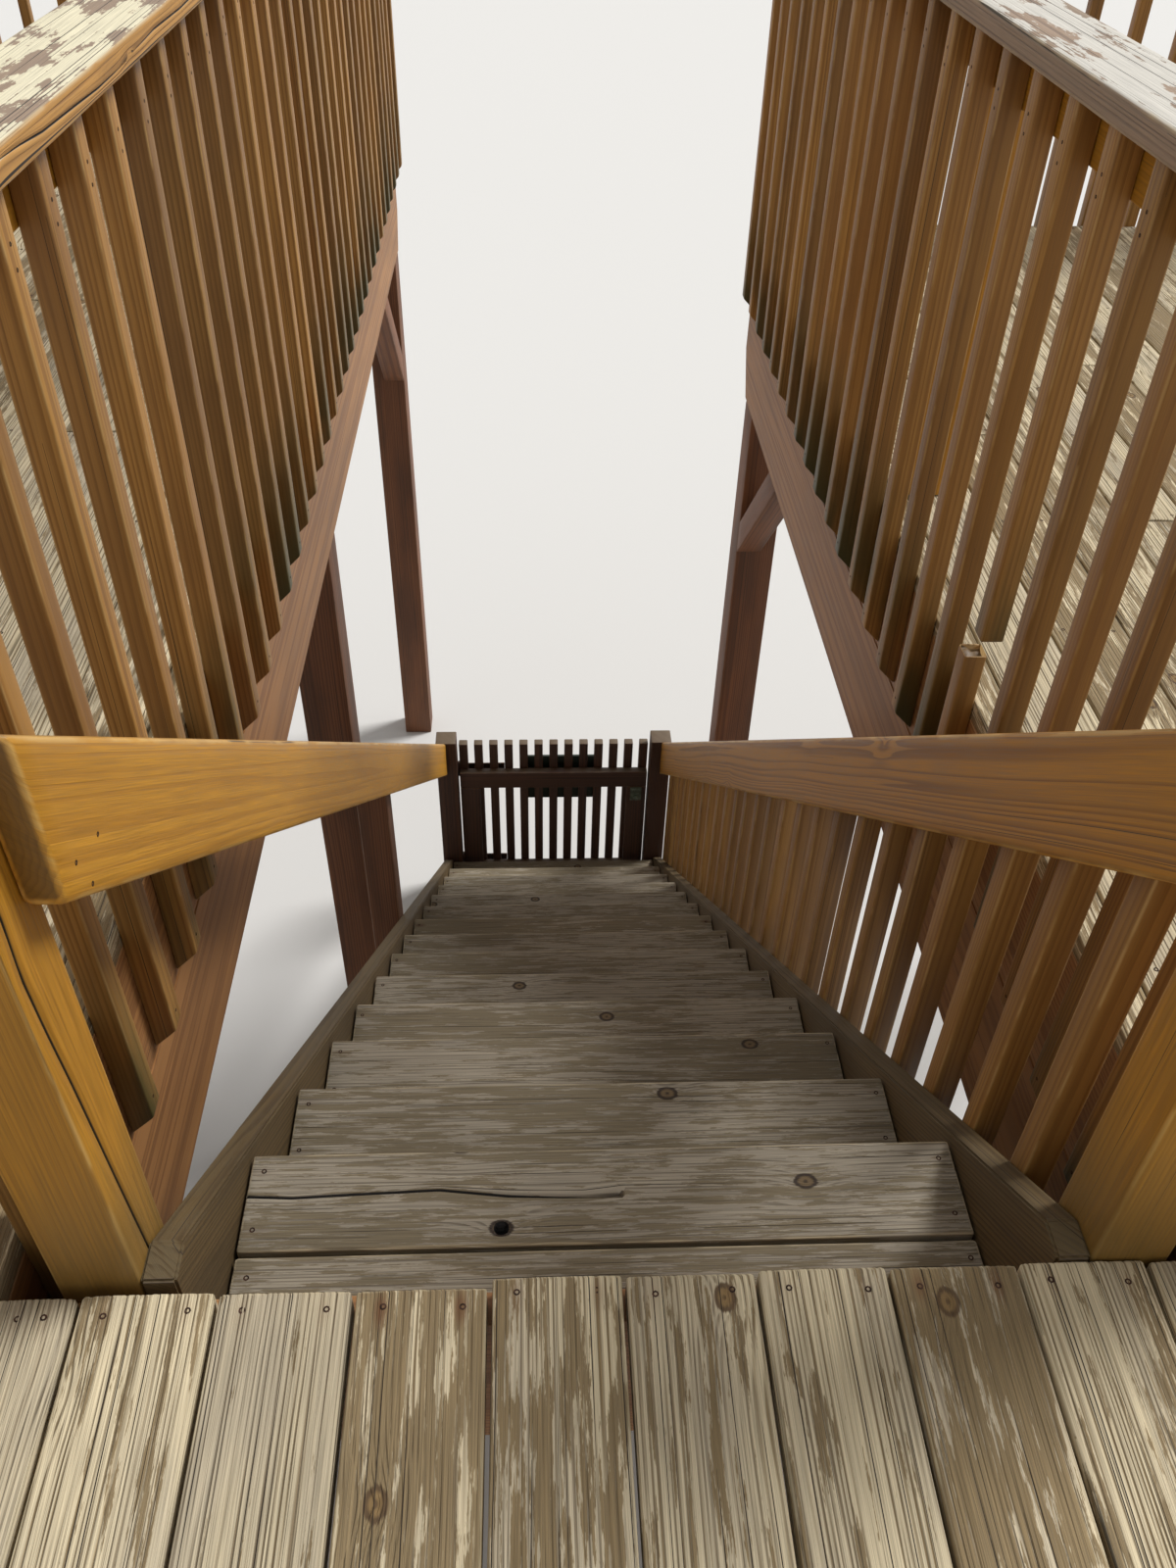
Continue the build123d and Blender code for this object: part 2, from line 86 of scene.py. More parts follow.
# decking
BOARD_PITCH = 143 * MM
BOARD_GAPS = (2 * MM, 4.5 * MM)
JOINT_GAP = 1 * MM        # on each side of a butt joint
SLIVER = 25 * MM          # a strip of board narrower than this is left out
AT_EDGE = 10 * MM         # what lies this near an edge counts as on it
JOIST_STEP = 406 * MM
HEAD_JOIST_STEP = 371 * MM
HEAD_JOIST_IN = 19 * MM   # from the deck's edge to the first joist's middle
JOISTS = np.arange(-20, 20)
LEFT_JOINTS = (3, 8)      # butt joints lie over one of these joists, counted from the deck's edge
RIGHT_JOINTS = (2, 7)
SHORT_TO = -1             # boards at the head left of this one end short of the others
SHORT_BOARDS = 9 * MM

# fixings: radius, and the socket's or dimple's share of it
SCREW = (3.7 * MM, 0.5)
NAIL = (2.6 * MM, 0.4)
HEAD_SIDES = 8
HEAD_DEPTH = 2.0 * MM
HEAD_SUNK = 0.35          # how far a head's middle lies in the wood, as a share of its depth
PROBE_OUT = 20 * MM       # a fixing is driven from here outside its spot, so far at most
PROBE_DEEP = 60 * MM
SCREW_IN = 28 * MM        # a screw from the board's edge
SCREW_BACK = 23 * MM      # and from its end
TREAD_SCREW_BACK = 18 * MM
SCREW_ALONE = 100 * MM    # no screw over a joist stands nearer than this to a board's end
NARROW = 8 * MM           # a board that leaves less than this inside its screws has none
DECK_STRAY = 4            # how many millimetres screws stray from their row
TREAD_STRAY = 3
NAIL_BELOW = 62 * MM      # a baluster's nails: two below its top, one above its foot
NAIL_ABOVE = 45 * MM
NAILS_APART = 26 * MM
WHOLE = 20 * MM           # a baluster that ends within this of the others is whole at that end

# marks that the photograph shows, measured from the flight's middle, the deck's edge and its top; a crack is
# places along it, then its width and depth
TREAD_CRACK = [(-0.48, 0.223), (-0.41, 0.219), (-0.34, 0.222), (-0.22, 0.226), (-0.18, 0.221), (-0.13, 0.215),
               (-0.06, 0.211), (0.02, 0.209)]
TREAD_CRACK_OPEN = (4.0 * MM, 22 * MM)
RIGHT_CRACK = [(0.37, 0.210), (0.42, 0.212), (0.49, 0.210)]
RIGHT_CRACK_OPEN = (1.2 * MM, 10 * MM)
POST_CHECK = [(0.72, 0.022), (0.53, 0.021), (0.47, 0.016), (0.40, 0.019), (0.31, 0.025), (0.25, 0.028),
              (0.13, 0.034), (0.0, 0.041), (-0.2, 0.047)]
POST_CHECK_OPEN = (4.2 * MM, 18 * MM)
CAP_CHECKS = [[(0.60, -0.010), (0.70, -0.014), (0.78, -0.020), (0.90, -0.023), (1.0, -0.026), (1.15, -0.025)],
              [(1.17, -0.022), (1.3, -0.018), (1.47, -0.021), (1.7, -0.017)]]
CAP_CHECK_OPEN = (2.2 * MM, 14 * MM)
CRACK_TAPER = 150 * MM
CRACK_TO_END = 20 * MM    # a crack that comes this near a timber's end runs out of it
CRACK_LIP = 0.15 * MM
CRACK_ROWS = 5            # rows of points beside a crack that lean with it
CRACK_CLEAR = 3           # rows at an arris where none opens
KNOT_HOLE = (-0.138, 0.170)
KNOT_HOLE_R = 10 * MM
KNOT_HOLE_DEEP = 26 * MM
HOLE_RIM = (0.75, 1.35)   # points between these shares of its radius stand on its rim
HOLE_FLOOR = (0.3, 0.9)   # and those past the first of these are spread out to the second
TREAD_KNOTS = [(0.264, 0.227, 1), (0.308, 0.767, 3), (0.058, 1.002, 4)]     # and how many steps down
TORN = 14 * MM            # how far splinters stand out where a baluster broke
RAIL_NAILS = [(0.145, 0.511), (0.091, 0.529), (0.107, 0.488)]     # in the left handrail: along and up

# growth rings: how far apart they lie, how far they drift aside, and how much they swell round knots
SKEW = 0.8                # a skin pattern runs through a timber at a slant, so it shows on all four faces
DECK_RINGS = (5.5 * MM, 0.02, 4.0)  # as weather cuts them, lying nearly straight along a board
CAP_RINGS = (5.5 * MM, 0.02, 0.0)   # clear of knots, as all that follow with no swell are
LATE_WOOD = (0.3, 0.85, 0.93)       # late wood starts, is full and ends at these shares of a ring
GROOVE_WOOD = (0.45, 0.8, 0.9)
YEARS_VARY = 2.2          # good and bad years: rings stand closer and wider by so many
KNOTS_ACROSS = 2.4        # cells a metre that may hold a knot
KNOTS_ALONG = 1.7
KNOT_SWIRL = 22 * MM
KNOT_R = 12 * MM
KNOT_OVAL = (0.75, 1.0, 1.0)        # a knot cut aslant shows longer along its board
KNOT_RAGGED = 0.35
# a knot's rim, heart and pith: which of its two hues, from and to which share of its radius, and how strong
KNOT_PARTS = ((0, 1.25, 1.1, 0.95), (1, 0.9, 0.7, 0.85), (0, 0.42, 0.3, 0.8))

# skin patterns, in turns a metre across the grain and along it
YEARS = (45.0, 0.4)       # 22 mm, the width of some four rings
WANDER = (4.5, 0.8)       # 220 mm by 1.2 m, the sweep of a log's rings
FIBRE = (650.0, 9.0)      # 1.5 mm by 110 mm, a bundle of fibres: single ones are too fine to show
CLOUD = (11.0, 1.8)       # 90 mm by 550 mm, patches of sap and heartwood
RIDGES = (210.0, 2.6)     # 5 mm by 380 mm, a ridge of late wood before it breaks off
CHIPS = (60.0, 9.0)       # 17 mm by 110 mm, rubbed spots on an arris
LUMPS = (38.0, 38.0, 4.0)           # 26 mm by 250 mm, hollows that wear leaves

# where a pattern or a slope begins to count and where it counts in full
CLOUDED = (0.42, 0.66)
FACES_UP = (0.6, 0.95)
FIBRES = (0.3, 0.7)
RIDGED = (0.36, 0.62)
CHIPPED = (0.42, 0.56)
SECOND = (0.35, 1.0)
SECOND_TURNS = 7.0        # tones pass through the second hue so many times, from the palest to the darkest
COAT_LEVEL = 0.56         # where a coat that covers half of the wood begins, and how far others move it
COAT_SPAN = 0.4
COAT_EDGE = 0.02
COAT_RAGGED = (6.0, 0.68)           # detail and roughness of the pattern that a coat breaks off along
COAT_IN_GROOVES = -0.1    # it holds a little less there, and better on raised fibres
COAT_ON_FIBRE = 0.12
FLAKE_RAGGED = (6.0, 0.66)
FLAKE_IN_GROOVES = -0.08
RUST_R = (6 * MM, 12 * MM)
RUST_LONG = 0.35          # a run of rust is longer along the grain
END_GRAIN = (0.4 * MM, 1.5 * MM)    # how far dirt reaches from a cut end
ALGAE_HIGH = 0.4
ALGAE_CLOUD = (0.35, 0.6)
FOOT_SHADE_HIGH = (0.2, 0.45)   # painted shade darkens a post up to here above the deck
FOOT_SHADE_UNEVEN = 0.4
DEEP = 0.06               # painted shade darkens a crack from this share of its depth down
BARE_SHARE = 0.85
CHIP_LEAST = 0.1
RIDGE_LEAST = 0.1
END_SHARE = 0.7
RUST_SHARE = (0.15, 0.75)
RUSTY = (0.55, 1.0)       # tones of the timbers whose screws have run most
CHECK_SHIFT = 53.0        # hairlines lie elsewhere on each timber, by its tone
CHECK_SPREAD = 0.15       # how softly they open, how soft they are and how fine they may be, in millimetres
CHECK_SOFT = 0.25
CHECK_LEAST = 0.05
ROUGH_VARY = 0.08
CHECK_DARK = "#241A10"
ALGAE = "#44431F"
# painted shade inside open cracks and holes
HOLLOW_SHADE = "#0E0905"

# each timber's own random numbers
SEEDS = {"log": 3, "bow": 11, "sink": 17, "short": 23, "tone": 31, "crown": 41}
TEAR_SEED = 5
BOARD_SEED = 7
CROWN_LEAST = 0.2         # the flattest board's share of the crown
MIDDLE_TONES = (0.3, 0.7)           # of stringers and beams
# where in the log a timber is cut, in metres from the pith: flat-sawn or nearly quarter-sawn
FLAT_SAWN = {"Log_Low": (-0.05, 0.035, 0.0), "Log_High": (0.05, 0.11, 60.0)}
RIFT_SAWN = {"Log_Low": (0.05, 0.02, 0.0), "Log_High": (0.16, 0.06, 60.0)}
BEAM_SAWN = ((-0.04, 0.04, 0), (0.04, 0.1, 50))
ARRIS_ROWS = (0.7, 0.3)   # the last steps between rows of points at an arris, as shares of its radius
ARRIS_BARE = (1.0, 0.6)   # what tells a flat face from a rounded arris
EASED = 3 * MM            # the arrises of stringers and beams
MERGED = 0.05 * MM        # corners this close are one
SAME_SPOT = 5             # decimals of a metre to which points that touch agree
NO_AREA = 1e-12
SQUARE = 0.02             # how far from square two faces of a timber may stand
SAME_FACE = 0.999
END_LEAN = 0.25           # an end's faces look along the timber by more than this
AT_FACE = 0.499           # in a timber's unit cube

# the flight's head, as the frame gives it
treads_low, treads_high = (Vector(corner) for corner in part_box("tread_front_boards"))
head_low, head_high = (Vector(corner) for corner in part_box("deck_floor_head"))
left_low, left_high = (Vector(corner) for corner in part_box("deck_floor_left"))
right_low, right_high = (Vector(corner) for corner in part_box("deck_floor_right"))
head_x = (treads_low.x + treads_high.x) / 2
edge_y = head_high.y
deck_z = head_high.z
rise = (deck_z - treads_low.z) / TREADS - TREAD_THICK / TREADS
slope = STEP_RISE / STEP_RUN


def from_head(x, y, z):
    """A place measured from the flight's head, in the frame's own metres."""
    return Vector((head_x + x, edge_y + y, deck_z + z))


def linear(hex_colour):
    """An sRGB hex colour as linear RGBA."""
    parts = [int(hex_colour[i:i + 2], 16) / 255 for i in (1, 3, 5)]
    return tuple(p / 12.92 if p <= 0.04045 else ((p + 0.055) / 1.055) ** 2.4 for p in parts) + (1.0,)


def add(tree, kind, *feeds, **settings):
    """Adds a node. Lower-case settings are its properties, capitalised ones fill inputs by name,
    and feeds fill its live inputs in order. A feed is a value, a socket, or a node's first output."""
    node = tree.nodes.new(kind)
    for key, value in settings.items():
        if key[0].islower():
            setattr(node, key, value)
    wanted = list(zip([s for s in node.inputs if s.enabled], feeds))
    wanted += [(node.inputs[key.replace("_", " ")], settings[key]) for key in settings if key[0].isupper()]
    for socket, value in wanted:
        if isinstance(value, bpy.types.Node):
            value = next(s for s in value.outputs if s.enabled)
        if isinstance(value, bpy.types.NodeSocket):
            tree.links.new(value, socket)
        elif value is not None:
            socket.default_value = value
    return node


MATHS = "ShaderNodeMath"
VECTOR = "ShaderNodeVectorMath"
JOIN = "ShaderNodeCombineXYZ"
SPLIT = "ShaderNodeSeparateXYZ"
NOISE = "ShaderNodeTexNoise"
VORONOI = "ShaderNodeTexVoronoi"
MIX = "ShaderNodeMix"
RANGE = "ShaderNodeMapRange"
NAMED = "GeometryNodeInputNamedAttribute"
STORE = "GeometryNodeStoreNamedAttribute"
RANDOM = "FunctionNodeRandomValue"
ONES = (1.0, 1.0, 1.0)


# Timber: each piece of sawn wood grows from one point that carries its section, length and end cuts

def solids_of(node):
    """The separate solids of a CAD node, each as vertex places and triangles."""
    mesh = nodes[node].data
    mesh.calc_loop_triangles()
    places = np.empty(len(mesh.vertices) * 3)
    mesh.vertices.foreach_get("co", places)
    places = places.reshape(-1, 3)
    corners = np.empty(len(mesh.loop_triangles) * 3, dtype=np.int32)
    mesh.loop_triangles.foreach_get("vertices", corners)
    _, merged = np.unique(np.round(places, SAME_SPOT), axis=0, return_inverse=True)
    merged = merged.ravel()
    triangles = merged[corners.reshape(-1, 3)]
    group = np.arange(merged.max() + 1)
    while True:
        low = group[triangles].min(axis=1)
        after = group.copy()
        for column in range(3):
            np.minimum.at(after, triangles[:, column], low)
        if (after == group).all():
            break
        group = after
    first = np.zeros(merged.max() + 1, dtype=np.int32)
    first[merged] = np.arange(len(merged))
    spots = places[first]
    labels = group[triangles[:, 0]]
    return [(spots, triangles[labels == label]) for label in np.unique(labels)]


def measure(spots, triangles):
    """A straight timber's middle, axes, half sizes and end cuts, from its flat faces."""
    a, b, c = (spots[triangles[:, i]] for i in range(3))
    cross = np.cross(b - a, c - a)
    area = np.linalg.norm(cross, axis=1)
    keep = area > NO_AREA
    normals = cross[keep] / area[keep, None]
    area = area[keep]
    corner = a[keep]
    tops = {}
    for normal, size in zip(normals, area):
        key = tuple(np.round(normal if tuple(np.round(normal, 3)) > (0, 0, 0) else -normal, 2) + 0.0)
        tops.setdefault(key, [0.0, np.zeros(3)])
        tops[key][0] += size
        tops[key][1] += normal * size * np.sign(np.dot(normal, key))
    ranked = sorted(tops.values(), key=lambda item: -item[0])
    axes = (total / np.linalg.norm(total) for _, total in ranked)
    thick = next(axes)
    wide = next(axis for axis in axes if abs(np.dot(axis, thick)) < SQUARE)
    if abs(thick[2]) > 0.5 and thick[2] < 0:
        thick = -thick
    along = np.cross(wide, thick)
    if along[np.argmax(np.abs(along))] < 0:
        wide = -wide
        along = -along
    used = spots[np.unique(triangles)]
    middle = (used.max(axis=0) + used.min(axis=0)) / 2
    halves = []
    for axis in (wide, thick):
        reach = (used - middle) @ axis
        middle = middle + axis * (reach.max() + reach.min()) / 2
        halves.append((reach.max() - reach.min()) / 2)
    cuts = []
    ends = []
    for way in (-1, 1):
        facing = way * (normals @ along)
        best = normals[np.argmax(np.where(facing > END_LEAN, area * facing, 0))]
        same = (normals @ best > SAME_FACE) & (facing > END_LEAN)
        lean = np.dot(best, along)
        ends.append(np.dot(best, corner[same][0] - middle) / lean)
        cuts.append((-np.dot(best, wide) / lean, -np.dot(best, thick) / lean, 0.0))
    middle = middle + along * (ends[0] + ends[1]) / 2
    halves.append((ends[1] - ends[0]) / 2)
    return {"middle": middle, "wide": wide, "thick": thick, "along": along,
            "half": halves, "cut_low": cuts[0], "cut_high": cuts[1]}


def timbers(node):
    """The measures of all timbers of a CAD node."""
    return [measure(*solid) for solid in solids_of(node)]


def near_and_far(node, place):
    """A node's timbers in two lists: the one that stands nearest a place in plan, and the others."""
    pieces = timbers(node)
    near = min(pieces, key=lambda one: math.hypot(one["middle"][0] - head_x - place[0],
                                                  one["middle"][1] - edge_y - place[1]))
    return [near], [one for one in pieces if one is not near]


def deck_board(low, high):
    """A square-ended board between two corners, lying flat along Y."""
    low, high = np.array(low), np.array(high)
    half_x, half_y, half_z = (high - low) / 2
    along = np.array([0.0, 1.0, 0.0])
    thick = np.array([0.0, 0.0, 1.0])
    return {"middle": (low + high) / 2, "wide": np.cross(thick, along), "thick": thick, "along": along,
            "half": [half_x, half_z, half_y], "cut_low": (0, 0, 0), "cut_high": (0, 0, 0)}


def store(mesh, name, values, kind="FLOAT_VECTOR"):
    """Stores a value on each point of a mesh."""
    layer = mesh.attributes.new(name, kind, "POINT")
    values = np.ravel(values).astype(np.int32 if kind == "INT" else np.float32)
    layer.data.foreach_set("vector" if kind == "FLOAT_VECTOR" else "value", values)


numbers = itertools.count()


def point_mesh(name, pieces):
    """A mesh of loose points, one for each timber, that carries what the tree needs to know."""
    mesh = bpy.data.meshes.new(name)
    mesh.from_pydata([tuple(one["middle"]) for one in pieces], [], [])
    for key in ("wide", "thick", "along", "half", "cut_low", "cut_high"):
        store(mesh, key, [one[key] for one in pieces])
    for one in pieces:
        one["number"] = next(numbers)
    store(mesh, "piece", [one["number"] for one in pieces], "INT")
    return mesh


def pattern(tree, skin, turns, detail, roughness=0.5):
    """Noise on a timber's skin, so many turns a metre across the grain and along it."""
    place = add(tree, VECTOR, skin, (*turns, 1.0), operation="MULTIPLY")
    return add(tree, NOISE, place, Scale=1.0, Detail=detail, Roughness=roughness, noise_dimensions="2D")


def figure(tree, grain, rings, knots=()):
    """Growth rings round a pith, drifting along the board and swelling round knots; no swell means no knots.
    Returns ring phase from 0 to 1, metres from a knot's middle, and the skin: a place across the grain, the
    same on all four faces, and along it. knots are spots in the object's own frame on boards along X."""
    apart, drift, swell = rings
    parts = add(tree, SPLIT, grain).outputs
    flank = add(tree, MATHS, parts["Y"], SKEW, parts["X"], operation="MULTIPLY_ADD")
    skin = add(tree, JOIN, flank, parts["Z"], 0.0)
    slow = add(tree, MATHS, pattern(tree, skin, WANDER, 1.0), 0.5, operation="SUBTRACT")
    aside = add(tree, MATHS, slow, drift, operation="MULTIPLY")
    across = add(tree, MATHS, parts["X"], aside, operation="ADD")
    moved = add(tree, JOIN, add(tree, MATHS, flank, aside, operation="ADD"), parts["Z"], 0.0)
    radius = add(tree, VECTOR, add(tree, JOIN, across, parts["Y"], 0.0), operation="LENGTH").outputs["Value"]
    turns = add(tree, MATHS, radius, 1 / apart, operation="MULTIPLY")
    turns = add(tree, MATHS, pattern(tree, moved, YEARS, 1.0), YEARS_VARY, turns, operation="MULTIPLY_ADD")
    if not swell:
        return add(tree, MATHS, turns, operation="FRACT"), None, moved
    branches = add(tree, JOIN, add(tree, MATHS, across, KNOTS_ACROSS, operation="MULTIPLY"),
                   add(tree, MATHS, parts["Z"], KNOTS_ALONG, operation="MULTIPLY"), 0.0)
    knot = add(tree, VORONOI, branches, Scale=1.0, voronoi_dimensions="2D").outputs["Distance"]
    knot = add(tree, MATHS, knot, 1 / KNOTS_ACROSS, operation="MULTIPLY")
    if knots:
        spot = add(tree, "ShaderNodeTexCoord").outputs["Object"]
    for place in knots:
        away = add(tree, VECTOR, spot, tuple(place), operation="SUBTRACT")
        away = add(tree, VECTOR, away, KNOT_OVAL, operation="MULTIPLY")
        away = add(tree, VECTOR, away, operation="LENGTH").outputs["Value"]
        knot = add(tree, MATHS, away, knot, operation="MINIMUM")
    near = add(tree, MATHS, add(tree, MATHS, knot, -1 / KNOT_SWIRL, operation="MULTIPLY"),
               operation="EXPONENT")
    turns = add(tree, MATHS, near, swell, turns, operation="MULTIPLY_ADD")
    return add(tree, MATHS, turns, operation="FRACT"), knot, moved


def late_wood(tree, phase, start, full, end):
    """How much of a ring is late wood: it comes on slowly and stops at once."""
    comes = add(tree, RANGE, phase, start, full, 0.0, 1.0, interpolation_type="SMOOTHSTEP")
    stops = add(tree, RANGE, phase, end, 1.0, 1.0, 0.0)
    return add(tree, MATHS, comes, stops, operation="MULTIPLY")


def grooves(tree, grain, rings, knots=()):
    """How deep weather has cut between the ridges of hard late wood, from 0 on a ridge to 1 in a groove."""
    phase, knot, skin = figure(tree, grain, rings, knots)
    cut = late_wood(tree, phase, *GROOVE_WOOD)
    line = add(tree, RANGE, pattern(tree, skin, RIDGES, 1.0), *RIDGED, RIDGE_LEAST, 1.0)
    return add(tree, MATHS, cut, line, operation="MULTIPLY"), knot, skin


def new_tree(name, kinds):
    """A geometry tree with named inputs, a geometry first, and what it is given."""
    tree = bpy.data.node_groups.new(name, "GeometryNodeTree")
    tree.interface.new_socket("Geometry", in_out="OUTPUT", socket_type="NodeSocketGeometry")
    for kind, names in {"Geometry": ["Geometry"], **kinds}.items():
        for key in names:
            tree.interface.new_socket(key, in_out="INPUT", socket_type="NodeSocket" + kind)
    return tree, add(tree, "NodeGroupInput").outputs


def rounded_block(tree, counts, radius, unit, half):
    """A block on its own axes with rounded arrises: each point's place, and the way that it faces. Rows of
    points gather at the arrises, with the rest spread evenly between."""
    radii = add(tree, JOIN, radius, radius, radius)
    core = add(tree, VECTOR, half, radii, operation="SUBTRACT")
    steps = add(tree, VECTOR, add(tree, JOIN, *counts), ONES, operation="SUBTRACT")
    way = add(tree, VECTOR, unit, operation="SIGN")
    out = add(tree, VECTOR, add(tree, VECTOR, unit, operation="ABSOLUTE"), steps, operation="MULTIPLY")
    middle = add(tree, VECTOR, steps, (0.5, 0.5, 0.5), operation="MULTIPLY")
    inner = add(tree, VECTOR, middle, (len(ARRIS_ROWS),) * 3, operation="SUBTRACT")
    share = add(tree, VECTOR, add(tree, VECTOR, out, inner, operation="DIVIDE"), ONES, operation="MINIMUM")
    past = add(tree, VECTOR, out, inner, operation="SUBTRACT")
    reach = (0, 0, 0)
    for row, length in enumerate(ARRIS_ROWS):
        step = add(tree, VECTOR, past, (row, row, row), operation="SUBTRACT")
        step = add(tree, VECTOR, step, (0, 0, 0), operation="MAXIMUM")
        step = add(tree, VECTOR, step, ONES, operation="MINIMUM")
        reach = add(tree, VECTOR, step, (length, length, length), reach, operation="MULTIPLY_ADD")
    flat = add(tree, VECTOR, core, share, operation="MULTIPLY")
    box = add(tree, VECTOR, reach, radii, flat, operation="MULTIPLY_ADD")
    base = add(tree, VECTOR, add(tree, VECTOR, box, core, operation="MINIMUM"), way, operation="MULTIPLY")
    box = add(tree, VECTOR, box, way, operation="MULTIPLY")
    outward = add(tree, VECTOR, add(tree, VECTOR, box, base, operation="SUBTRACT"), operation="NORMALIZE")
    return add(tree, VECTOR, outward, radii, base, operation="MULTIPLY_ADD"), outward


def worn_down(tree, given, grain, rounded, outward):
    """A block's points sunk where the log is soft, and between its ridges of late wood."""
    lumps = add(tree, NOISE, add(tree, VECTOR, grain, LUMPS, operation="MULTIPLY"), Scale=1.0, Detail=3.0)
    depth = add(tree, MATHS, lumps, given["Wear"], operation="MULTIPLY")
    groove = grooves(tree, grain, DECK_RINGS)[0]
    depth = add(tree, MATHS, groove, given["Groove"], depth, operation="MULTIPLY_ADD")
    depth = add(tree, MATHS, depth, -1.0, operation="MULTIPLY")
    return add(tree, VECTOR, rounded, add(tree, VECTOR, outward, Scale=depth, operation="SCALE"),
               operation="ADD")


def bent_and_cut(tree, given, piece, places, parts, halves):
    """How far each point lies across, through and along a timber that bows, sinks, crowns, ends short and is
    cut at its ends."""
    swing = add(tree, RANDOM, (-1.0, -1.0, -1.0), ONES, ID=piece, Seed=SEEDS["bow"], data_type="FLOAT_VECTOR")
    swing_x, swing_y, _ = add(tree, SPLIT, swing).outputs
    sink, short = (add(tree, RANDOM, 0.0, 1.0, ID=piece, Seed=SEEDS[key], data_type="FLOAT")
                   for key in ("sink", "short"))
    crown = add(tree, RANDOM, CROWN_LEAST, 1.0, ID=piece, Seed=SEEDS["crown"], data_type="FLOAT")
    ratio = add(tree, MATHS, parts["Z"], halves["Z"], operation="DIVIDE")
    belly = add(tree, MATHS, add(tree, MATHS, ratio, ratio, operation="MULTIPLY"), -1.0, 1.0,
                operation="MULTIPLY_ADD")
    bend = add(tree, MATHS, belly, given["Bow"], operation="MULTIPLY")
    wide = add(tree, MATHS, swing_x, bend, parts["X"], operation="MULTIPLY_ADD")
    thick = add(tree, MATHS, swing_y, bend, parts["Y"], operation="MULTIPLY_ADD")
    drop = add(tree, MATHS, sink, given["Uneven Height"], operation="MULTIPLY")
    thick = add(tree, MATHS, thick, drop, operation="SUBTRACT")
    side = add(tree, MATHS, parts["X"], halves["X"], operation="DIVIDE")
    side = add(tree, MATHS, add(tree, MATHS, side, side, operation="MULTIPLY"), given["Crown"],
               operation="MULTIPLY")
    thick = add(tree, MATHS, thick, add(tree, MATHS, side, crown, operation="MULTIPLY"), operation="SUBTRACT")
    shy = add(tree, MATHS, short, given["Uneven Ends"], operation="MULTIPLY")
    long = add(tree, MATHS, add(tree, MATHS, shy, ratio, operation="MULTIPLY"), -1.0, parts["Z"],
               operation="MULTIPLY_ADD")
    blend = add(tree, MATHS, ratio, 0.5, 0.5, operation="MULTIPLY_ADD")
    low, high = (add(tree, NAMED, key, data_type="FLOAT_VECTOR") for key in ("cut_low", "cut_high"))
    cut = add(tree, MIX, blend, low, high, data_type="VECTOR")
    lean = add(tree, VECTOR, cut, places, operation="DOT_PRODUCT").outputs["Value"]
    return wide, thick, add(tree, MATHS, long, lean, operation="ADD")


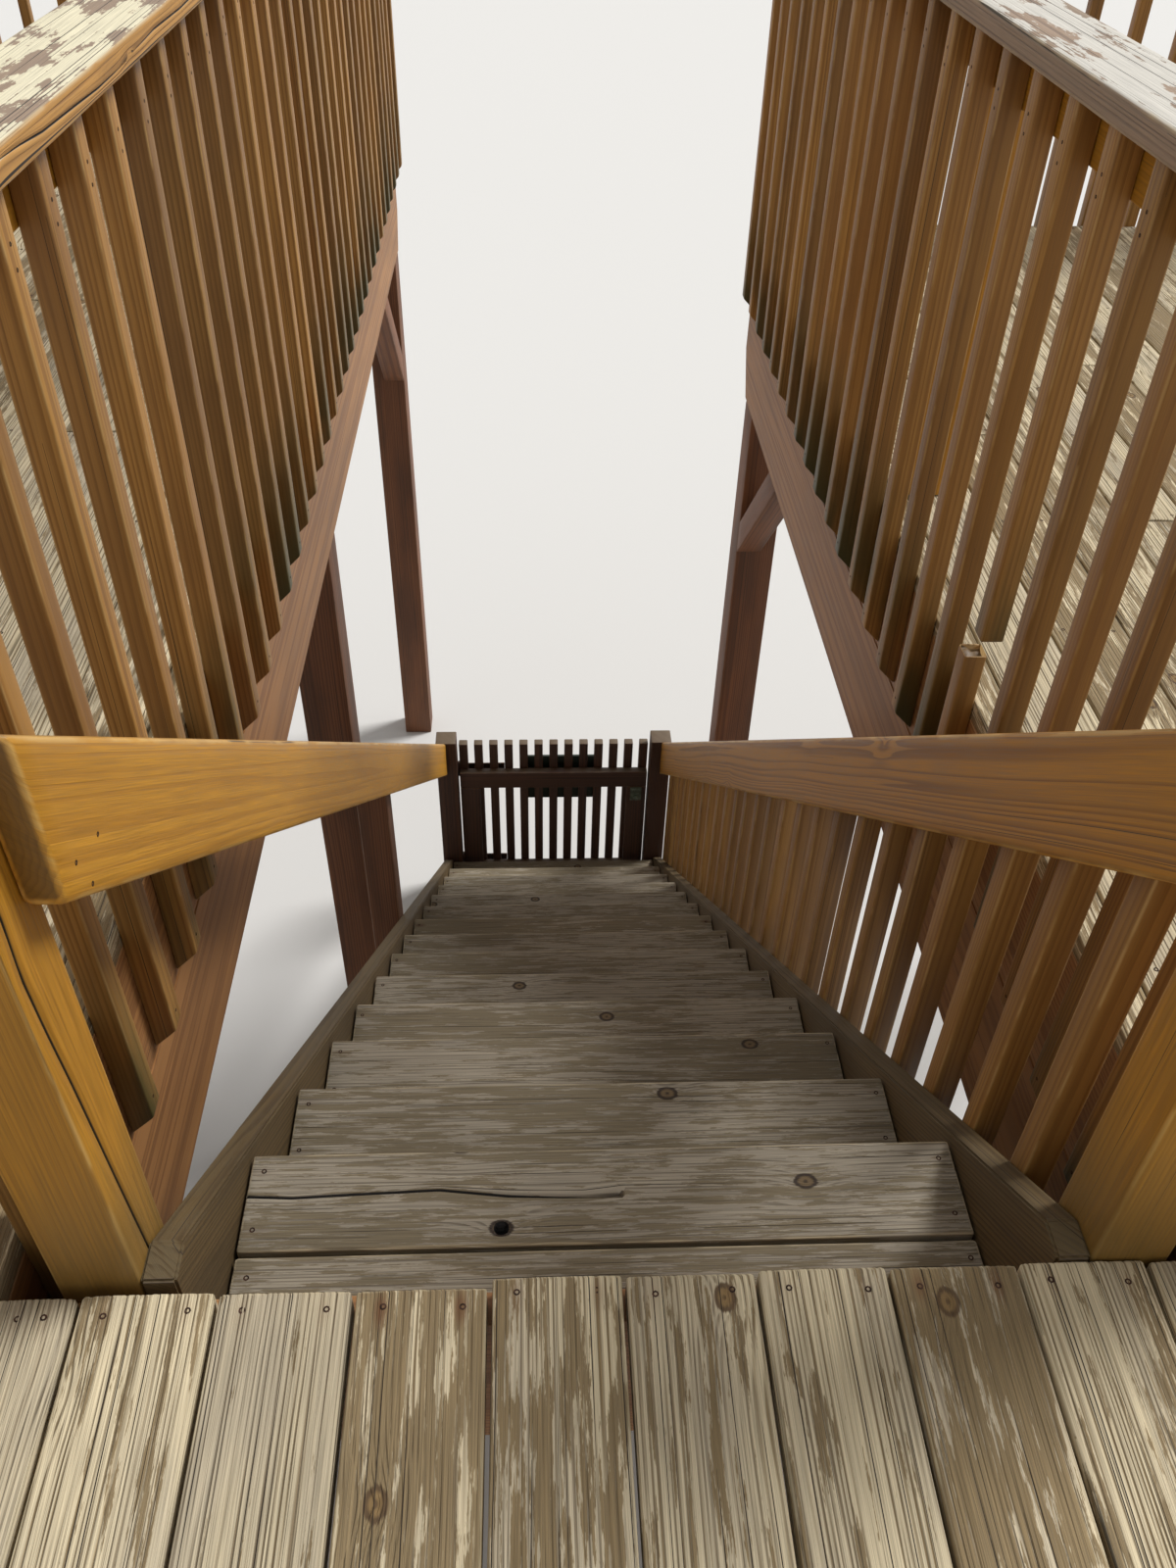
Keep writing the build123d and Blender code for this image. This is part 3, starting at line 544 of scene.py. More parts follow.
def timber_tree():
    """Geometry Nodes: a rounded, worn timber on every point."""
    tree, given = new_tree("timber from a point", {
        "Int": ["Points Wide", "Points Thick", "Points Long"],
        "Float": ["Round", "Wear", "Groove", "Bow", "Crown", "Uneven Ends", "Uneven Height"],
        "Vector": ["Log Low", "Log High"],
        "Material": ["Material"]})
    counts = [given[key] for key in ("Points Wide", "Points Thick", "Points Long")]
    cube = add(tree, "GeometryNodeMeshCube", ONES, *counts)
    place = add(tree, "GeometryNodeInputPosition")
    block = add(tree, STORE, cube, data_type="FLOAT_VECTOR", Name="unit", Value=place)
    many = add(tree, "GeometryNodeInstanceOnPoints", given["Geometry"], Instance=block)
    shaped = add(tree, "GeometryNodeRealizeInstances", many)

    # each timber is cut from another part of the log
    unit, half = (add(tree, NAMED, key, data_type="FLOAT_VECTOR") for key in ("unit", "half"))
    piece = add(tree, NAMED, "piece", data_type="INT")
    rounded, outward = rounded_block(tree, counts, given["Round"], unit, half)
    offset = add(tree, RANDOM, given["Log Low"], given["Log High"], ID=piece, Seed=SEEDS["log"],
                 data_type="FLOAT_VECTOR")
    grain = add(tree, VECTOR, rounded, offset, operation="ADD")
    worn = worn_down(tree, given, grain, rounded, outward)
    parts = add(tree, SPLIT, worn).outputs
    halves = add(tree, SPLIT, half).outputs
    centre = add(tree, VECTOR, place, unit, operation="SUBTRACT")
    reaches = bent_and_cut(tree, given, piece, worn, parts, halves)
    for key, length in zip(("wide", "thick", "along"), reaches):
        arm = add(tree, NAMED, key, data_type="FLOAT_VECTOR")
        arm = add(tree, VECTOR, arm, Scale=length, operation="SCALE")
        centre = add(tree, VECTOR, centre, arm, operation="ADD")

    # what the finishes read: place in the log, distance from ends and edge, the timber's tone, worn arrises
    from_low = add(tree, MATHS, parts["Z"], halves["Z"], operation="ADD")
    from_high = add(tree, MATHS, halves["Z"], parts["Z"], operation="SUBTRACT")
    from_side = add(tree, MATHS, halves["X"], add(tree, MATHS, parts["X"], operation="ABSOLUTE"),
                    operation="SUBTRACT")
    ends = add(tree, JOIN, from_low, from_high, from_side)
    tone = add(tree, RANDOM, 0.0, 1.0, ID=piece, Seed=SEEDS["tone"], data_type="FLOAT")
    bare = add(tree, VECTOR, outward, outward, operation="MULTIPLY")
    bare = add(tree, VECTOR, bare, bare, operation="DOT_PRODUCT").outputs["Value"]
    arris = add(tree, RANGE, bare, *ARRIS_BARE, 0.0, 1.0)
    for key, kind, value in (("grain", "FLOAT_VECTOR", grain), ("ends", "FLOAT_VECTOR", ends),
                             ("tone", "FLOAT", tone), ("arris", "FLOAT", arris)):
        shaped = add(tree, STORE, shaped, data_type=kind, Name=key, Value=value)
    shaped = add(tree, "GeometryNodeSetPosition", shaped, Position=centre)
    shaped = add(tree, "GeometryNodeSetShadeSmooth", shaped, Shade_Smooth=True)
    for key in ("half", "wide", "thick", "along", "cut_low", "cut_high"):
        shaped = add(tree, "GeometryNodeRemoveAttribute", shaped, Name=key)
    shaped = add(tree, "GeometryNodeSetMaterial", shaped, Material=given["Material"])
    add(tree, "NodeGroupOutput", shaped)
    return tree


def grow(name, mesh, tree, **inputs):
    """Runs a geometry tree on a mesh and keeps the result as a plain piece."""
    piece = bpy.data.objects.new(name, mesh)
    scene.collection.objects.link(piece)
    modifier = piece.modifiers.new("grow", "NODES")
    modifier.node_group = tree
    for item in tree.interface.items_tree:
        key = item.name.replace(" ", "_")
        if item.in_out == "INPUT" and key in inputs:
            modifier[item.identifier] = inputs[key]
    bpy.context.view_layer.update()
    done = bpy.data.meshes.new_from_object(piece.evaluated_get(bpy.context.evaluated_depsgraph_get()))
    piece.modifiers.remove(modifier)
    piece.data = done
    done.name = name
    return piece


# Finishes

def new_material(name):
    """A material, its tree and its shader's inputs."""
    material = bpy.data.materials.new(name)
    material.use_nodes = True
    return material, material.node_tree, material.node_tree.nodes["Principled BSDF"].inputs


# What a finish is unless it says otherwise. checks are so many hairlines a metre, so many millimetres wide,
# open where noise with so many turns along passes a level. flakes are a pattern, its level and its soft edge.
# A coat is its two hues, the share that it covers, its pattern, how much it varies from timber to timber and
# how much it gathers in clouds. rust is its hue and how far screws stand from the timber's end and edge.
USUAL = {"knots": (), "fibre": 0.4, "contrast": 0.1, "varied": 0.1, "flakes": ((22.0, 3.0), 0.36, 0.1),
         "checks": (24.0, 0.7, 0.6, 0.9), "end": "#4A3520", "depth": 0.5, "rough": 0.7}
PLAIN_RELIEF = 0.25       # late wood's share of the relief where weather hasn't cut grooves


def surface(tree, looks):
    """What a finish reads: where a spot lies on its timber, and the wood's own patterns there."""
    grain, ends = (add(tree, "ShaderNodeAttribute", attribute_name=key).outputs["Vector"]
                   for key in ("grain", "ends"))
    tone, arris, deep = (add(tree, "ShaderNodeAttribute", attribute_name=key).outputs["Fac"]
                         for key in ("tone", "arris", "deep"))
    from_low, from_high, from_side = add(tree, SPLIT, ends).outputs
    up = add(tree, SPLIT, add(tree, "ShaderNodeNewGeometry").outputs["Normal"]).outputs["Z"]
    if "grooved" in looks:
        line, knot, skin = grooves(tree, grain, looks["rings"], looks["knots"])
    else:
        phase, knot, skin = figure(tree, grain, looks["rings"], looks["knots"])
        line = late_wood(tree, phase, *LATE_WOOD)
    return SimpleNamespace(
        tone=tone, arris=arris, deep=deep, from_low=from_low, from_side=from_side, up=up,
        line=line, knot=knot, skin=skin, tip=add(tree, MATHS, from_low, from_high, operation="MINIMUM"),
        fibre=pattern(tree, skin, FIBRE, 2.0), cloud=pattern(tree, skin, CLOUD, 4.0))


def coats(tree, looks, on):
    """Masks and colours of clouds, coats and weather, in the order that they lie on the bare wood."""
    layers = []

    # broad clouds of a second tone along the grain
    if "cloud" in looks:
        hex_cloud, share = looks["cloud"]
        layers.append((add(tree, RANGE, on.cloud, *CLOUDED, 0.0, share), linear(hex_cloud)))

    # remnants of an older, thicker coat that hangs on in streaks along the grain
    if "coat" in looks:
        hex_light, hex_dark, share, streaks, uneven, gather = looks["coat"]
        level = pattern(tree, on.skin, streaks, *COAT_RAGGED)
        for part, weight in ((on.line, COAT_IN_GROOVES), (on.fibre, COAT_ON_FIBRE), (on.tone, uneven),
                             (on.cloud, gather)):
            level = add(tree, MATHS, part, weight, level, operation="MULTIPLY_ADD")
        start = COAT_LEVEL + uneven / 2 + (0.5 - share) * COAT_SPAN + gather / 2
        coat = add(tree, MIX, on.cloud, linear(hex_light), linear(hex_dark), data_type="RGBA")
        layers.append((add(tree, RANGE, level, start, start + COAT_EDGE, 0.0, 1.0), coat))

    # a second hue on some timbers
    if "second" in looks:
        hex_second, share = looks["second"]
        turn = add(tree, MATHS, on.tone, SECOND_TURNS, operation="MULTIPLY")
        turn = add(tree, MATHS, turn, operation="FRACT")
        layers.append((add(tree, RANGE, turn, *SECOND, 0.0, share), linear(hex_second)))

    # weather changes what faces up: bare wood greys, and what is left of a pale coat flakes
    if "bare" in looks:
        layers.append((add(tree, RANGE, on.up, *FACES_UP, 0.0, BARE_SHARE), linear(looks["bare"])))
    if "weather" in looks:
        hex_grey, share = looks["weather"]
        flakes, start, edge = looks["flakes"]
        level = pattern(tree, on.skin, flakes, *FLAKE_RAGGED)
        level = add(tree, MATHS, on.line, FLAKE_IN_GROOVES, level, operation="MULTIPLY_ADD")
        mask = add(tree, RANGE, level, start, start + edge, 0.0, 1.0)
        mask = add(tree, MATHS, mask, add(tree, RANGE, on.up, *FACES_UP, 0.0, share), operation="MULTIPLY")
        layers.append((mask, linear(hex_grey)))
    return layers


def wear(tree, looks, on):
    """Masks and colours of knots, checks, worn arrises, rust, dirt and painted shade, which lie over the
    coats.
    """
    layers = []

    # knots: a dark rim round a browner heart
    if on.knot and "knot" in looks:
        ragged = add(tree, MATHS, on.fibre, KNOT_RAGGED * KNOT_R, on.knot, operation="MULTIPLY_ADD")
        for hue, outer, inner, share in KNOT_PARTS:
            mask = add(tree, RANGE, ragged, KNOT_R * outer, KNOT_R * inner, 0.0, share)
            layers.append((mask, linear(looks["knot"][hue])))

    # checks: hairlines that open here and there along the grain
    many, width, start, run = looks["checks"]
    flank = add(tree, MATHS, add(tree, SPLIT, on.skin).outputs["X"], many, operation="MULTIPLY")
    flank = add(tree, MATHS, on.tone, CHECK_SHIFT, flank, operation="MULTIPLY_ADD")
    lines = add(tree, VORONOI, flank, Scale=1.0, voronoi_dimensions="1D").outputs["Distance"]
    half_width = add(tree, RANGE, pattern(tree, on.skin, (many / 2, run), 1.0), start, start + CHECK_SPREAD,
                     0.0, many * width / 2 * MM)
    beyond = add(tree, MATHS, lines, half_width, operation="SUBTRACT")
    split = add(tree, RANGE, beyond, 0.0, many * CHECK_SOFT * MM, 1.0, 0.0)
    opened = add(tree, MATHS, half_width, many * CHECK_LEAST * MM, operation="GREATER_THAN")
    layers.append((add(tree, MATHS, split, opened, operation="MULTIPLY"), linear(CHECK_DARK)))

    # worn arrises
    if "worn" in looks:
        hex_worn, share = looks["worn"]
        chips = add(tree, RANGE, pattern(tree, on.skin, CHIPS, 3.0), *CHIPPED, CHIP_LEAST, share)
        layers.append((add(tree, MATHS, chips, on.arris, operation="MULTIPLY"), linear(hex_worn)))

    # rust runs from the screws of decking and treads
    if "rust" in looks:
        hex_rust, back, inset = looks["rust"]
        one = add(tree, MATHS, add(tree, MATHS, on.tip, back, operation="SUBTRACT"), RUST_LONG,
                  operation="MULTIPLY")
        two = add(tree, MATHS, on.from_side, inset, operation="SUBTRACT")
        away = add(tree, VECTOR, add(tree, JOIN, one, two, 0.0), operation="LENGTH").outputs["Value"]
        ragged = add(tree, MATHS, on.fibre, RUST_R[0], away, operation="MULTIPLY_ADD")
        stained = add(tree, RANGE, on.tone, *RUSTY, *RUST_SHARE)
        layers.append((add(tree, RANGE, ragged, *RUST_R, stained, 0.0), linear(hex_rust)))

    # end grain drinks the dirt
    layers.append((add(tree, RANGE, on.tip, *END_GRAIN, END_SHARE, 0.0), linear(looks["end"])))

    # algae creeps up from the lower end
    if "algae" in looks:
        low = add(tree, RANGE, on.from_low, 0.0, ALGAE_HIGH, looks["algae"], 0.0)
        mask = add(tree, RANGE, on.cloud, *ALGAE_CLOUD, 0.0, 1.0)
        layers.append((add(tree, MATHS, mask, low, operation="MULTIPLY"), linear(ALGAE)))

    # painted shade darkens a post where it passes the deck, up to an uneven height above it
    if "dull" in looks:
        hex_foot_shade, share = looks["dull"]
        high = add(tree, SPLIT, add(tree, "ShaderNodeTexCoord").outputs["Object"]).outputs["Z"]
        over_deck = add(tree, MATHS, high, deck_z, operation="SUBTRACT")
        uneven = add(tree, MATHS, on.cloud, FOOT_SHADE_UNEVEN, over_deck, operation="MULTIPLY_ADD")
        layers.append((add(tree, RANGE, uneven, *FOOT_SHADE_HIGH, share, 0.0), linear(hex_foot_shade)))

    # painted shade: open cracks and holes are dark just inside their lips
    layers.append((add(tree, RANGE, on.deep, 0.0, DEEP, 0.0, 1.0), linear(HOLLOW_SHADE)))
    return layers


def finished(name, early, late, **looks):
    """A timber finish: bare wood, its coats, the fibres' shade and its wear, each laid over the one before.
    looks gives each layer's colour and amount; a layer that isn't named is left out."""
    looks = {**USUAL, **looks}
    material, tree, shader = new_material(name)
    on = surface(tree, looks)
    colour = add(tree, MIX, on.line, linear(early), linear(late), data_type="RGBA")
    for mask, tint in coats(tree, looks, on):
        colour = add(tree, MIX, mask, colour, tint, data_type="RGBA")

    # fine fibres lighten and darken it, and each timber has its own tone
    spread, varied, rough = looks["contrast"], looks["varied"], looks["rough"]
    shade = add(tree, RANGE, on.fibre, *FIBRES, 1.0 - spread, 1.0 + spread)
    own = add(tree, RANGE, on.tone, 0.0, 1.0, 1.0 - varied, 1.0 + varied)
    shade = add(tree, MATHS, shade, own, operation="MULTIPLY")
    colour = add(tree, VECTOR, colour, Scale=shade, operation="SCALE")
    for mask, tint in wear(tree, looks, on):
        colour = add(tree, MIX, mask, colour, tint, data_type="RGBA")

    height = add(tree, MATHS, on.line, -looks.get("grooved", PLAIN_RELIEF), operation="MULTIPLY")
    height = add(tree, MATHS, on.fibre, looks["fibre"], height, operation="MULTIPLY_ADD")
    bump = add(tree, "ShaderNodeBump", Height=height, Distance=looks["depth"] * MM, Strength=1.0)
    rough = add(tree, RANGE, on.fibre, *FIBRES, rough - ROUGH_VARY, min(rough + ROUGH_VARY, 1.0))
    tree.links.new(colour.outputs[2], shader["Base Color"])
    tree.links.new(bump.outputs["Normal"], shader["Normal"])
    tree.links.new(rough.outputs[0], shader["Roughness"])
    return material


# dressed pine under a golden semi-transparent deck stain: warm, fine figure, arrises worn pale
golden = {"weather": ("#7E6444", 0.75), "cloud": ("#9A6A20", 0.4), "worn": ("#D2AC68", 0.6), "rough": 0.5,
          "depth": 0.3, "varied": 0.05, "end": "#3E2E1B", "contrast": 0.16, "checks": (16.0, 0.6, 0.56, 0.9)}
rail_stain = finished("rail_pine_golden_stain", "#B98427", "#A97622", rings=(6 * MM, 0.014, 0.0), **golden)
# the same stain on the right rail, whose rings are cut flat: they show broad and dark and swirl round knots
figured_stain = finished("rail_pine_figured_golden_stain", "#AD7824", "#80531A", rings=(6.5 * MM, 0.03, 2.6),
                         **golden)
# the same stain on the posts at the head, with painted shade darkening them just above the deck
post_stain = finished("post_pine_golden_stain", "#B98427", "#A97622", rings=(6 * MM, 0.014, 0.0),
                      dull=("#63502C", 0.75), **golden)
# the same stain on square balusters, each its own tone, green at the feet
baluster_stain = finished("baluster_pine_golden_stain", "#A67A3C", "#8A6029", rings=(8 * MM, 0.012, 0.0),
                          cloud=("#80592C", 0.6), varied=0.2, second=("#7C5830", 0.45),
                          worn=("#CBA86E", 0.55), algae=1.0, rough=0.55, depth=0.3, end="#3E3420",
                          checks=(40.0, 0.6, 0.56, 0.9))
# stain greyed and walked thin on the stringers
stringer_stain = finished("stringer_pine_tired_stain", "#604C2A", "#4B391C", rings=(6 * MM, 0.02, 0.0),
                          cloud=("#43341A", 0.6), weather=("#5F5239", 0.6), rough=0.75, depth=0.5,
                          worn=("#9E8C6C", 0.6), end="#55483A", checks=(20.0, 0.7, 0.52, 0.9))
# stain faded to a pinkish tan on rims and beams
rim_stain = finished("rim_pine_faded_stain", "#A17243", "#865B34", rings=(8 * MM, 0.02, 0.0),
                     cloud=("#795331", 0.5), rough=0.6, worn=("#BF9B70", 0.4), depth=0.3,
                     checks=(16.0, 0.7, 0.58, 0.9))
# red brown stain on the posts and braces that carry the deck
support_stain = finished("support_fir_red_brown_stain", "#7C4D2C", "#613A20", rings=(7 * MM, 0.02, 0.0),
                         cloud=("#4C2E1A", 0.6), rough=0.65, depth=0.4, worn=("#9C7C60", 0.4),
                         checks=(18.0, 0.9, 0.5, 0.9))
# sawn joists, plain brown
framing_wood = finished("framing_sawn_pine", "#86683F", "#6E5336", rings=(7 * MM, 0.02, 0.0),
                        cloud=("#665034", 0.5), rough=0.8, depth=0.5, checks=(18.0, 0.7, 0.55, 0.9))
# treads walked bare: grey-brown wood with brown coat left in streaks, and pale arrises that are partly real
# wear and partly a painted highlight along each nosing
tread_wood = finished("tread_weathered_pine", "#A09684", "#786E5E", rings=DECK_RINGS, grooved=0.8, fibre=0.9,
                      cloud=("#847C6E", 0.5), coat=("#83765E", "#726752", 0.62, (105.0, 9.0), 0.14, 0.5),
                      contrast=0.2, rough=0.85, depth=0.7, knot=("#2E2117", "#756246"),
                      worn=("#BFAE8E", 0.8), end="#4A3B28", varied=0.07,
                      rust=("#5A3A22", TREAD_SCREW_BACK, SCREW_IN), checks=(60.0, 0.8, 0.5, 4.5),
                      knots=[from_head(x, y, -step * rise) for x, y, step in TREAD_KNOTS]
                      + [from_head(*KNOT_HOLE, -rise)])
# decking bleached to ridged grey-tan grain with brown coat in patches
deck_wood = finished("decking_bleached_pine", "#D2C3A2", "#84704F", rings=DECK_RINGS, grooved=1.6, fibre=0.9,
                     cloud=("#AFA38E", 0.6), coat=("#917F60", "#7F6C4C", 0.4, (58.0, 4.5), 0.3, 0.25),
                     contrast=0.22, rough=0.9, depth=1.0, knot=("#5F4A32", "#93784F"), end="#6A5A42",
                     varied=0.12, worn=("#D0C19E", 0.5), rust=("#6B4326", SCREW_BACK, SCREW_IN),
                     checks=(48.0, 0.9, 0.44, 2.0))
# pine caps under a pale old coat that peels off their tops, with golden stain on the left guard's edges
peeling = {"rings": CAP_RINGS, "grooved": 0.7, "contrast": 0.14, "rough": 0.8, "depth": 1.0,
           "worn": ("#C4B08C", 0.6), "checks": (34.0, 1.2, 0.4, 0.9)}
# the left cap's top coat is a warmer cream than on the grey caps, painted sunlight on the same coat
cap_golden = finished("cap_pine_golden_edge_peeling_coat", "#B28446", "#946A38", cloud=("#9C7440", 0.7),
                      bare="#8A7A6C", weather=("#DDD4B6", 0.95), flakes=((17.0, 5.0), 0.45, 0.03), **peeling)
# the same coat, greyer, on caps whose edges have weathered to a pinkish grey
cap_grey = finished("cap_pine_grey_edge_peeling_coat", "#A08872", "#7E6958", cloud=("#8F7C68", 0.7),
                    weather=("#D6D1C6", 0.95), flakes=((17.0, 5.0), 0.41, 0.03), **peeling)
# gate stained almost black red brown
gate_wood = finished("gate_pine_dark_stain", "#482A17", "#321D11", rings=(5 * MM, 0.02, 0.0),
                     weather=("#6A5A45", 0.55), rough=0.6, depth=0.3, varied=0.12,
                     worn=("#6B4A30", 0.4), end="#6B5A44")
# a board painted blackish green
sign_wood = finished("sign_board_blackish_green_paint", "#1F2C1C", "#1A2417", rings=(5 * MM, 0.02, 0.0),
                     fibre=0.2, contrast=0.06, rough=0.5, depth=0.2, end="#141A12")

PATCHED = (0.4, 0.6)      # where patches on a fitting begin and are full, for colour and for shine
SHINE_PATCHED = (0.35, 0.65)
SHINE_LOST = 0.3
PITTED = 0.3 * MM


def fitting(name, bright, dull, rough, patches, metallic=0.6):
    """A metal part's skin, so many patches a metre. Reads object coordinates."""
    material, tree, shader = new_material(name)
    spot = add(tree, "ShaderNodeTexCoord").outputs["Object"]
    cloud = add(tree, NOISE, spot, Scale=patches, Detail=5.0)
    mask = add(tree, RANGE, cloud, *PATCHED, 0.0, 1.0)
    colour = add(tree, MIX, mask, linear(bright), linear(dull), data_type="RGBA")
    shine = add(tree, RANGE, cloud, *SHINE_PATCHED, rough, min(rough + SHINE_LOST, 1.0))
    bump = add(tree, "ShaderNodeBump", Height=cloud, Distance=PITTED, Strength=0.5)
    tree.links.new(colour.outputs[2], shader["Base Color"])
    tree.links.new(bump.outputs["Normal"], shader["Normal"])
    tree.links.new(shine.outputs[0], shader["Roughness"])
    shader["Metallic"].default_value = metallic
    return material


# black japanned steel straps, rusting in patches 17 mm wide
strap_steel = fitting("hinge_japanned_steel", "#24211E", "#5A3A24", 0.45, 60.0)
# screw and nail heads, rusted brown
fixing_rust = fitting("fixing_rusted_steel", "#4A3226", "#2A1C15", 0.6, 200.0)
# painted cast latch, grey green and dulled
latch_paint = fitting("latch_grey_green_enamel", "#5F6B58", "#454C3C", 0.4, 45.0, metallic=0.0)


# Timber pieces. wide, thick and long are how many points a timber has across, through and along it.

TIMBER = timber_tree()
PLAIN = {"Round": 4 * MM, "Wear": 0.6 * MM, "Groove": 0.0, "Bow": 0.0, "Crown": 0.0, "Uneven_Ends": 0.0,
         "Uneven_Height": 0.0, **FLAT_SAWN}
STAINED = "stained_timber"


def lay(name, pieces, replaced, material, slot, body="deck", wide=6, thick=6, long=10, marks=None, **shape):
    """Grows timbers from their measures, opens their cracks and hands them to the frame."""
    piece = grow(name, point_mesh(name, pieces), TIMBER, Points_Wide=wide, Points_Thick=thick,
                 Points_Long=long, Material=material, **{**PLAIN, **shape})
    if marks:
        marks(piece.data, pieces, (wide, thick, long))
    for spare in ("unit", "piece"):
        piece.data.attributes.remove(piece.data.attributes[spare])
    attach(piece, body)
    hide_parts(*replaced)
    return piece


def dress(node, material, slot, body="deck", **shape):
    """Grows a node's timbers again with rounded, worn arrises, in the node's place."""
    return lay(node + "_wood", timbers(node), [node], material, slot, body, **shape)


def points_of(mesh):
    """Every point of a mesh of timbers: its place, its place in the unit cube, and its timber's number."""
    places, unit = np.empty((2, len(mesh.vertices), 3), np.float32)
    number = np.empty(len(mesh.vertices), np.int32)
    mesh.vertices.foreach_get("co", places.ravel())
    mesh.attributes["unit"].data.foreach_get("vector", unit.ravel())
    mesh.attributes["piece"].data.foreach_get("value", number)
    return places, unit, number


def face_points(mesh, board, counts, outward):
    """All places of a mesh, then the points on one face of a timber and their row across the grain."""
    places, unit, number = points_of(mesh)
    axes = np.array([board["wide"], board["thick"]]) @ np.array(outward)
    axis = int(np.argmax(np.abs(axes)))
    on_face = (number == board["number"]) & (unit[:, axis] * np.sign(axes[axis]) > AT_FACE)
    column = np.round((unit[:, 1 - axis] + 0.5) * (counts[1 - axis] - 1)).astype(int)
    return places, np.flatnonzero(on_face), column[on_face]


def paint_hollow_shade(mesh, points, amounts):
    """Marks points as deep inside a crack or hole, for the painted shade there."""
    if "deep" not in mesh.attributes:
        mesh.attributes.new("deep", "FLOAT", "POINT")
    deep = np.empty(len(mesh.vertices), np.float32)
    mesh.attributes["deep"].data.foreach_get("value", deep)
    deep[points] = np.maximum(deep[points], amounts)
    mesh.attributes["deep"].data.foreach_set("value", deep)


def open_crack(mesh, board, counts, outward, path, width, depth):
    """Opens a wandering crack in one face of a timber. The rows of points beside it lean with its path, the
    row on it sinks and its neighbours stand at its lips. path gives places along and across the timber."""
    places, points, column = face_points(mesh, board, counts, outward)
    run = int(np.argmax(np.abs(board["along"])))
    cross = 3 - run - int(np.argmax(np.abs(outward)))
    path = np.array(sorted(path))
    along, across = places[points, run], places[points, cross]
    start, end = path[0, 0], path[-1, 0]
    inside = (along > start) & (along < end)
    want = np.interp(along, path[:, 0], path[:, 1])
    best = min(range(CRACK_CLEAR, column.max() + 1 - CRACK_CLEAR),
               key=lambda c: abs(across[column == c].mean() - path[:, 1].mean()))
    row = np.argsort(along[column == best])
    line = np.interp(along, along[column == best][row], across[column == best][row])
    taper = np.ones(len(along))
    if abs(along.min() - start) >= CRACK_TO_END:
        taper = np.minimum(taper, (along - start) / CRACK_TAPER)
    if abs(along.max() - end) >= CRACK_TO_END:
        taper = np.minimum(taper, (end - along) / CRACK_TAPER)
    taper = np.clip(taper, 0, 1)
    apart = column - best
    across_way = np.sign(across[column == best + 1].mean() - across[column == best].mean())
    lean = np.clip(1 - (np.abs(apart) - 1) / CRACK_ROWS, 0, 1) * np.clip(taper * 3, 0, 1) * inside
    moved = across + (want - line) * lean
    lips = inside & (np.abs(apart) == 1)
    moved[lips] = (want + apart * across_way * (width / 2 * taper + CRACK_LIP))[lips]
    bottom = inside & (apart == 0)
    places[points, cross] = moved
    places[points[bottom]] -= np.array(outward) * (depth * taper[bottom])[:, None]
    mesh.vertices.foreach_set("co", places.ravel())
    # painted shade along the crack's bottom
    paint_hollow_shade(mesh, points[bottom], np.clip(taper[bottom] * 2, 0, 1))


def open_hole(mesh, board, counts, outward, middle, radius, depth):
    """Sinks a round hole where a knot fell out: points round its rim stand on its circle."""
    places, points, _ = face_points(mesh, board, counts, outward)
    outward = np.array(outward)
    apart = places[points] - np.array(middle)
    apart -= np.outer(apart @ outward, outward)
    away = np.linalg.norm(apart, axis=1)
    rim = (away > radius * HOLE_RIM[0]) & (away < radius * HOLE_RIM[1])
    heart = away <= radius * HOLE_RIM[0]
    places[points[rim]] += apart[rim] * (radius / away[rim] - 1)[:, None]
    near, wide = radius * HOLE_FLOOR[0], radius * HOLE_FLOOR[1]
    spread = np.where(away[heart] > near, wide / np.maximum(away[heart], near) - 1, 0)
    places[points[heart]] += apart[heart] * spread[:, None] - outward * depth
    mesh.vertices.foreach_set("co", places.ravel())
    # painted shade on the hole's floor
    paint_hollow_shade(mesh, points[heart], 1.0)


def torn_ends(mesh, sticks, counts):
    """Splinters the ends where one baluster broke: the lower end of the long part, the stub's upper end."""
    full = np.median([stick["half"][2] for stick in sticks])
    places, unit, number = points_of(mesh)
    tear = np.random.default_rng(TEAR_SEED)
    for stick in sticks:
        if stick["half"][2] > full - WHOLE:
            continue
        way = 1 if stick["half"][2] < full / 2 else -1
        at_end = (number == stick["number"]) & (unit[:, 2] * way > AT_FACE)
        cell = np.round((unit[at_end, :2] + 0.5) * (counts[0] - 1)).astype(int)
        reach = tear.uniform(-TORN, 0, (counts[0], counts[1])) + tear.uniform(-TORN, 0, (1, counts[1]))
        places[at_end] += np.outer(reach[cell[:, 0], cell[:, 1]] * way, stick["along"])
    mesh.vertices.foreach_set("co", places.ravel())


def post_check(mesh, posts, counts):
    """The long check down the near left post, on the face towards the flight."""
    path = [(deck_z + z, edge_y + y) for z, y in POST_CHECK]
    open_crack(mesh, posts[0], counts, RIGHTWARD, path, *POST_CHECK_OPEN)


def cap_checks(mesh, caps, counts):
    """The long split in the left cap's edge towards the flight, and the broken corner it ends at."""
    for marks in CAP_CHECKS:
        path = [(edge_y + y, deck_z + TOP + z) for y, z in marks]
        open_crack(mesh, caps[0], counts, RIGHTWARD, path, *CAP_CHECK_OPEN)


def first_tread_marks(mesh, boards, counts):
    """The crack from the first tread's left end, a finer one on its right, and the hole of a lost knot."""
    for marks, size in ((TREAD_CRACK, TREAD_CRACK_OPEN), (RIGHT_CRACK, RIGHT_CRACK_OPEN)):
        path = [(head_x + x, edge_y + y) for x, y in marks]
        open_crack(mesh, boards[0], counts, UP, path, *size)
    open_hole(mesh, boards[0], counts, UP, from_head(*KNOT_HOLE, -rise), KNOT_HOLE_R, KNOT_HOLE_DEEP)


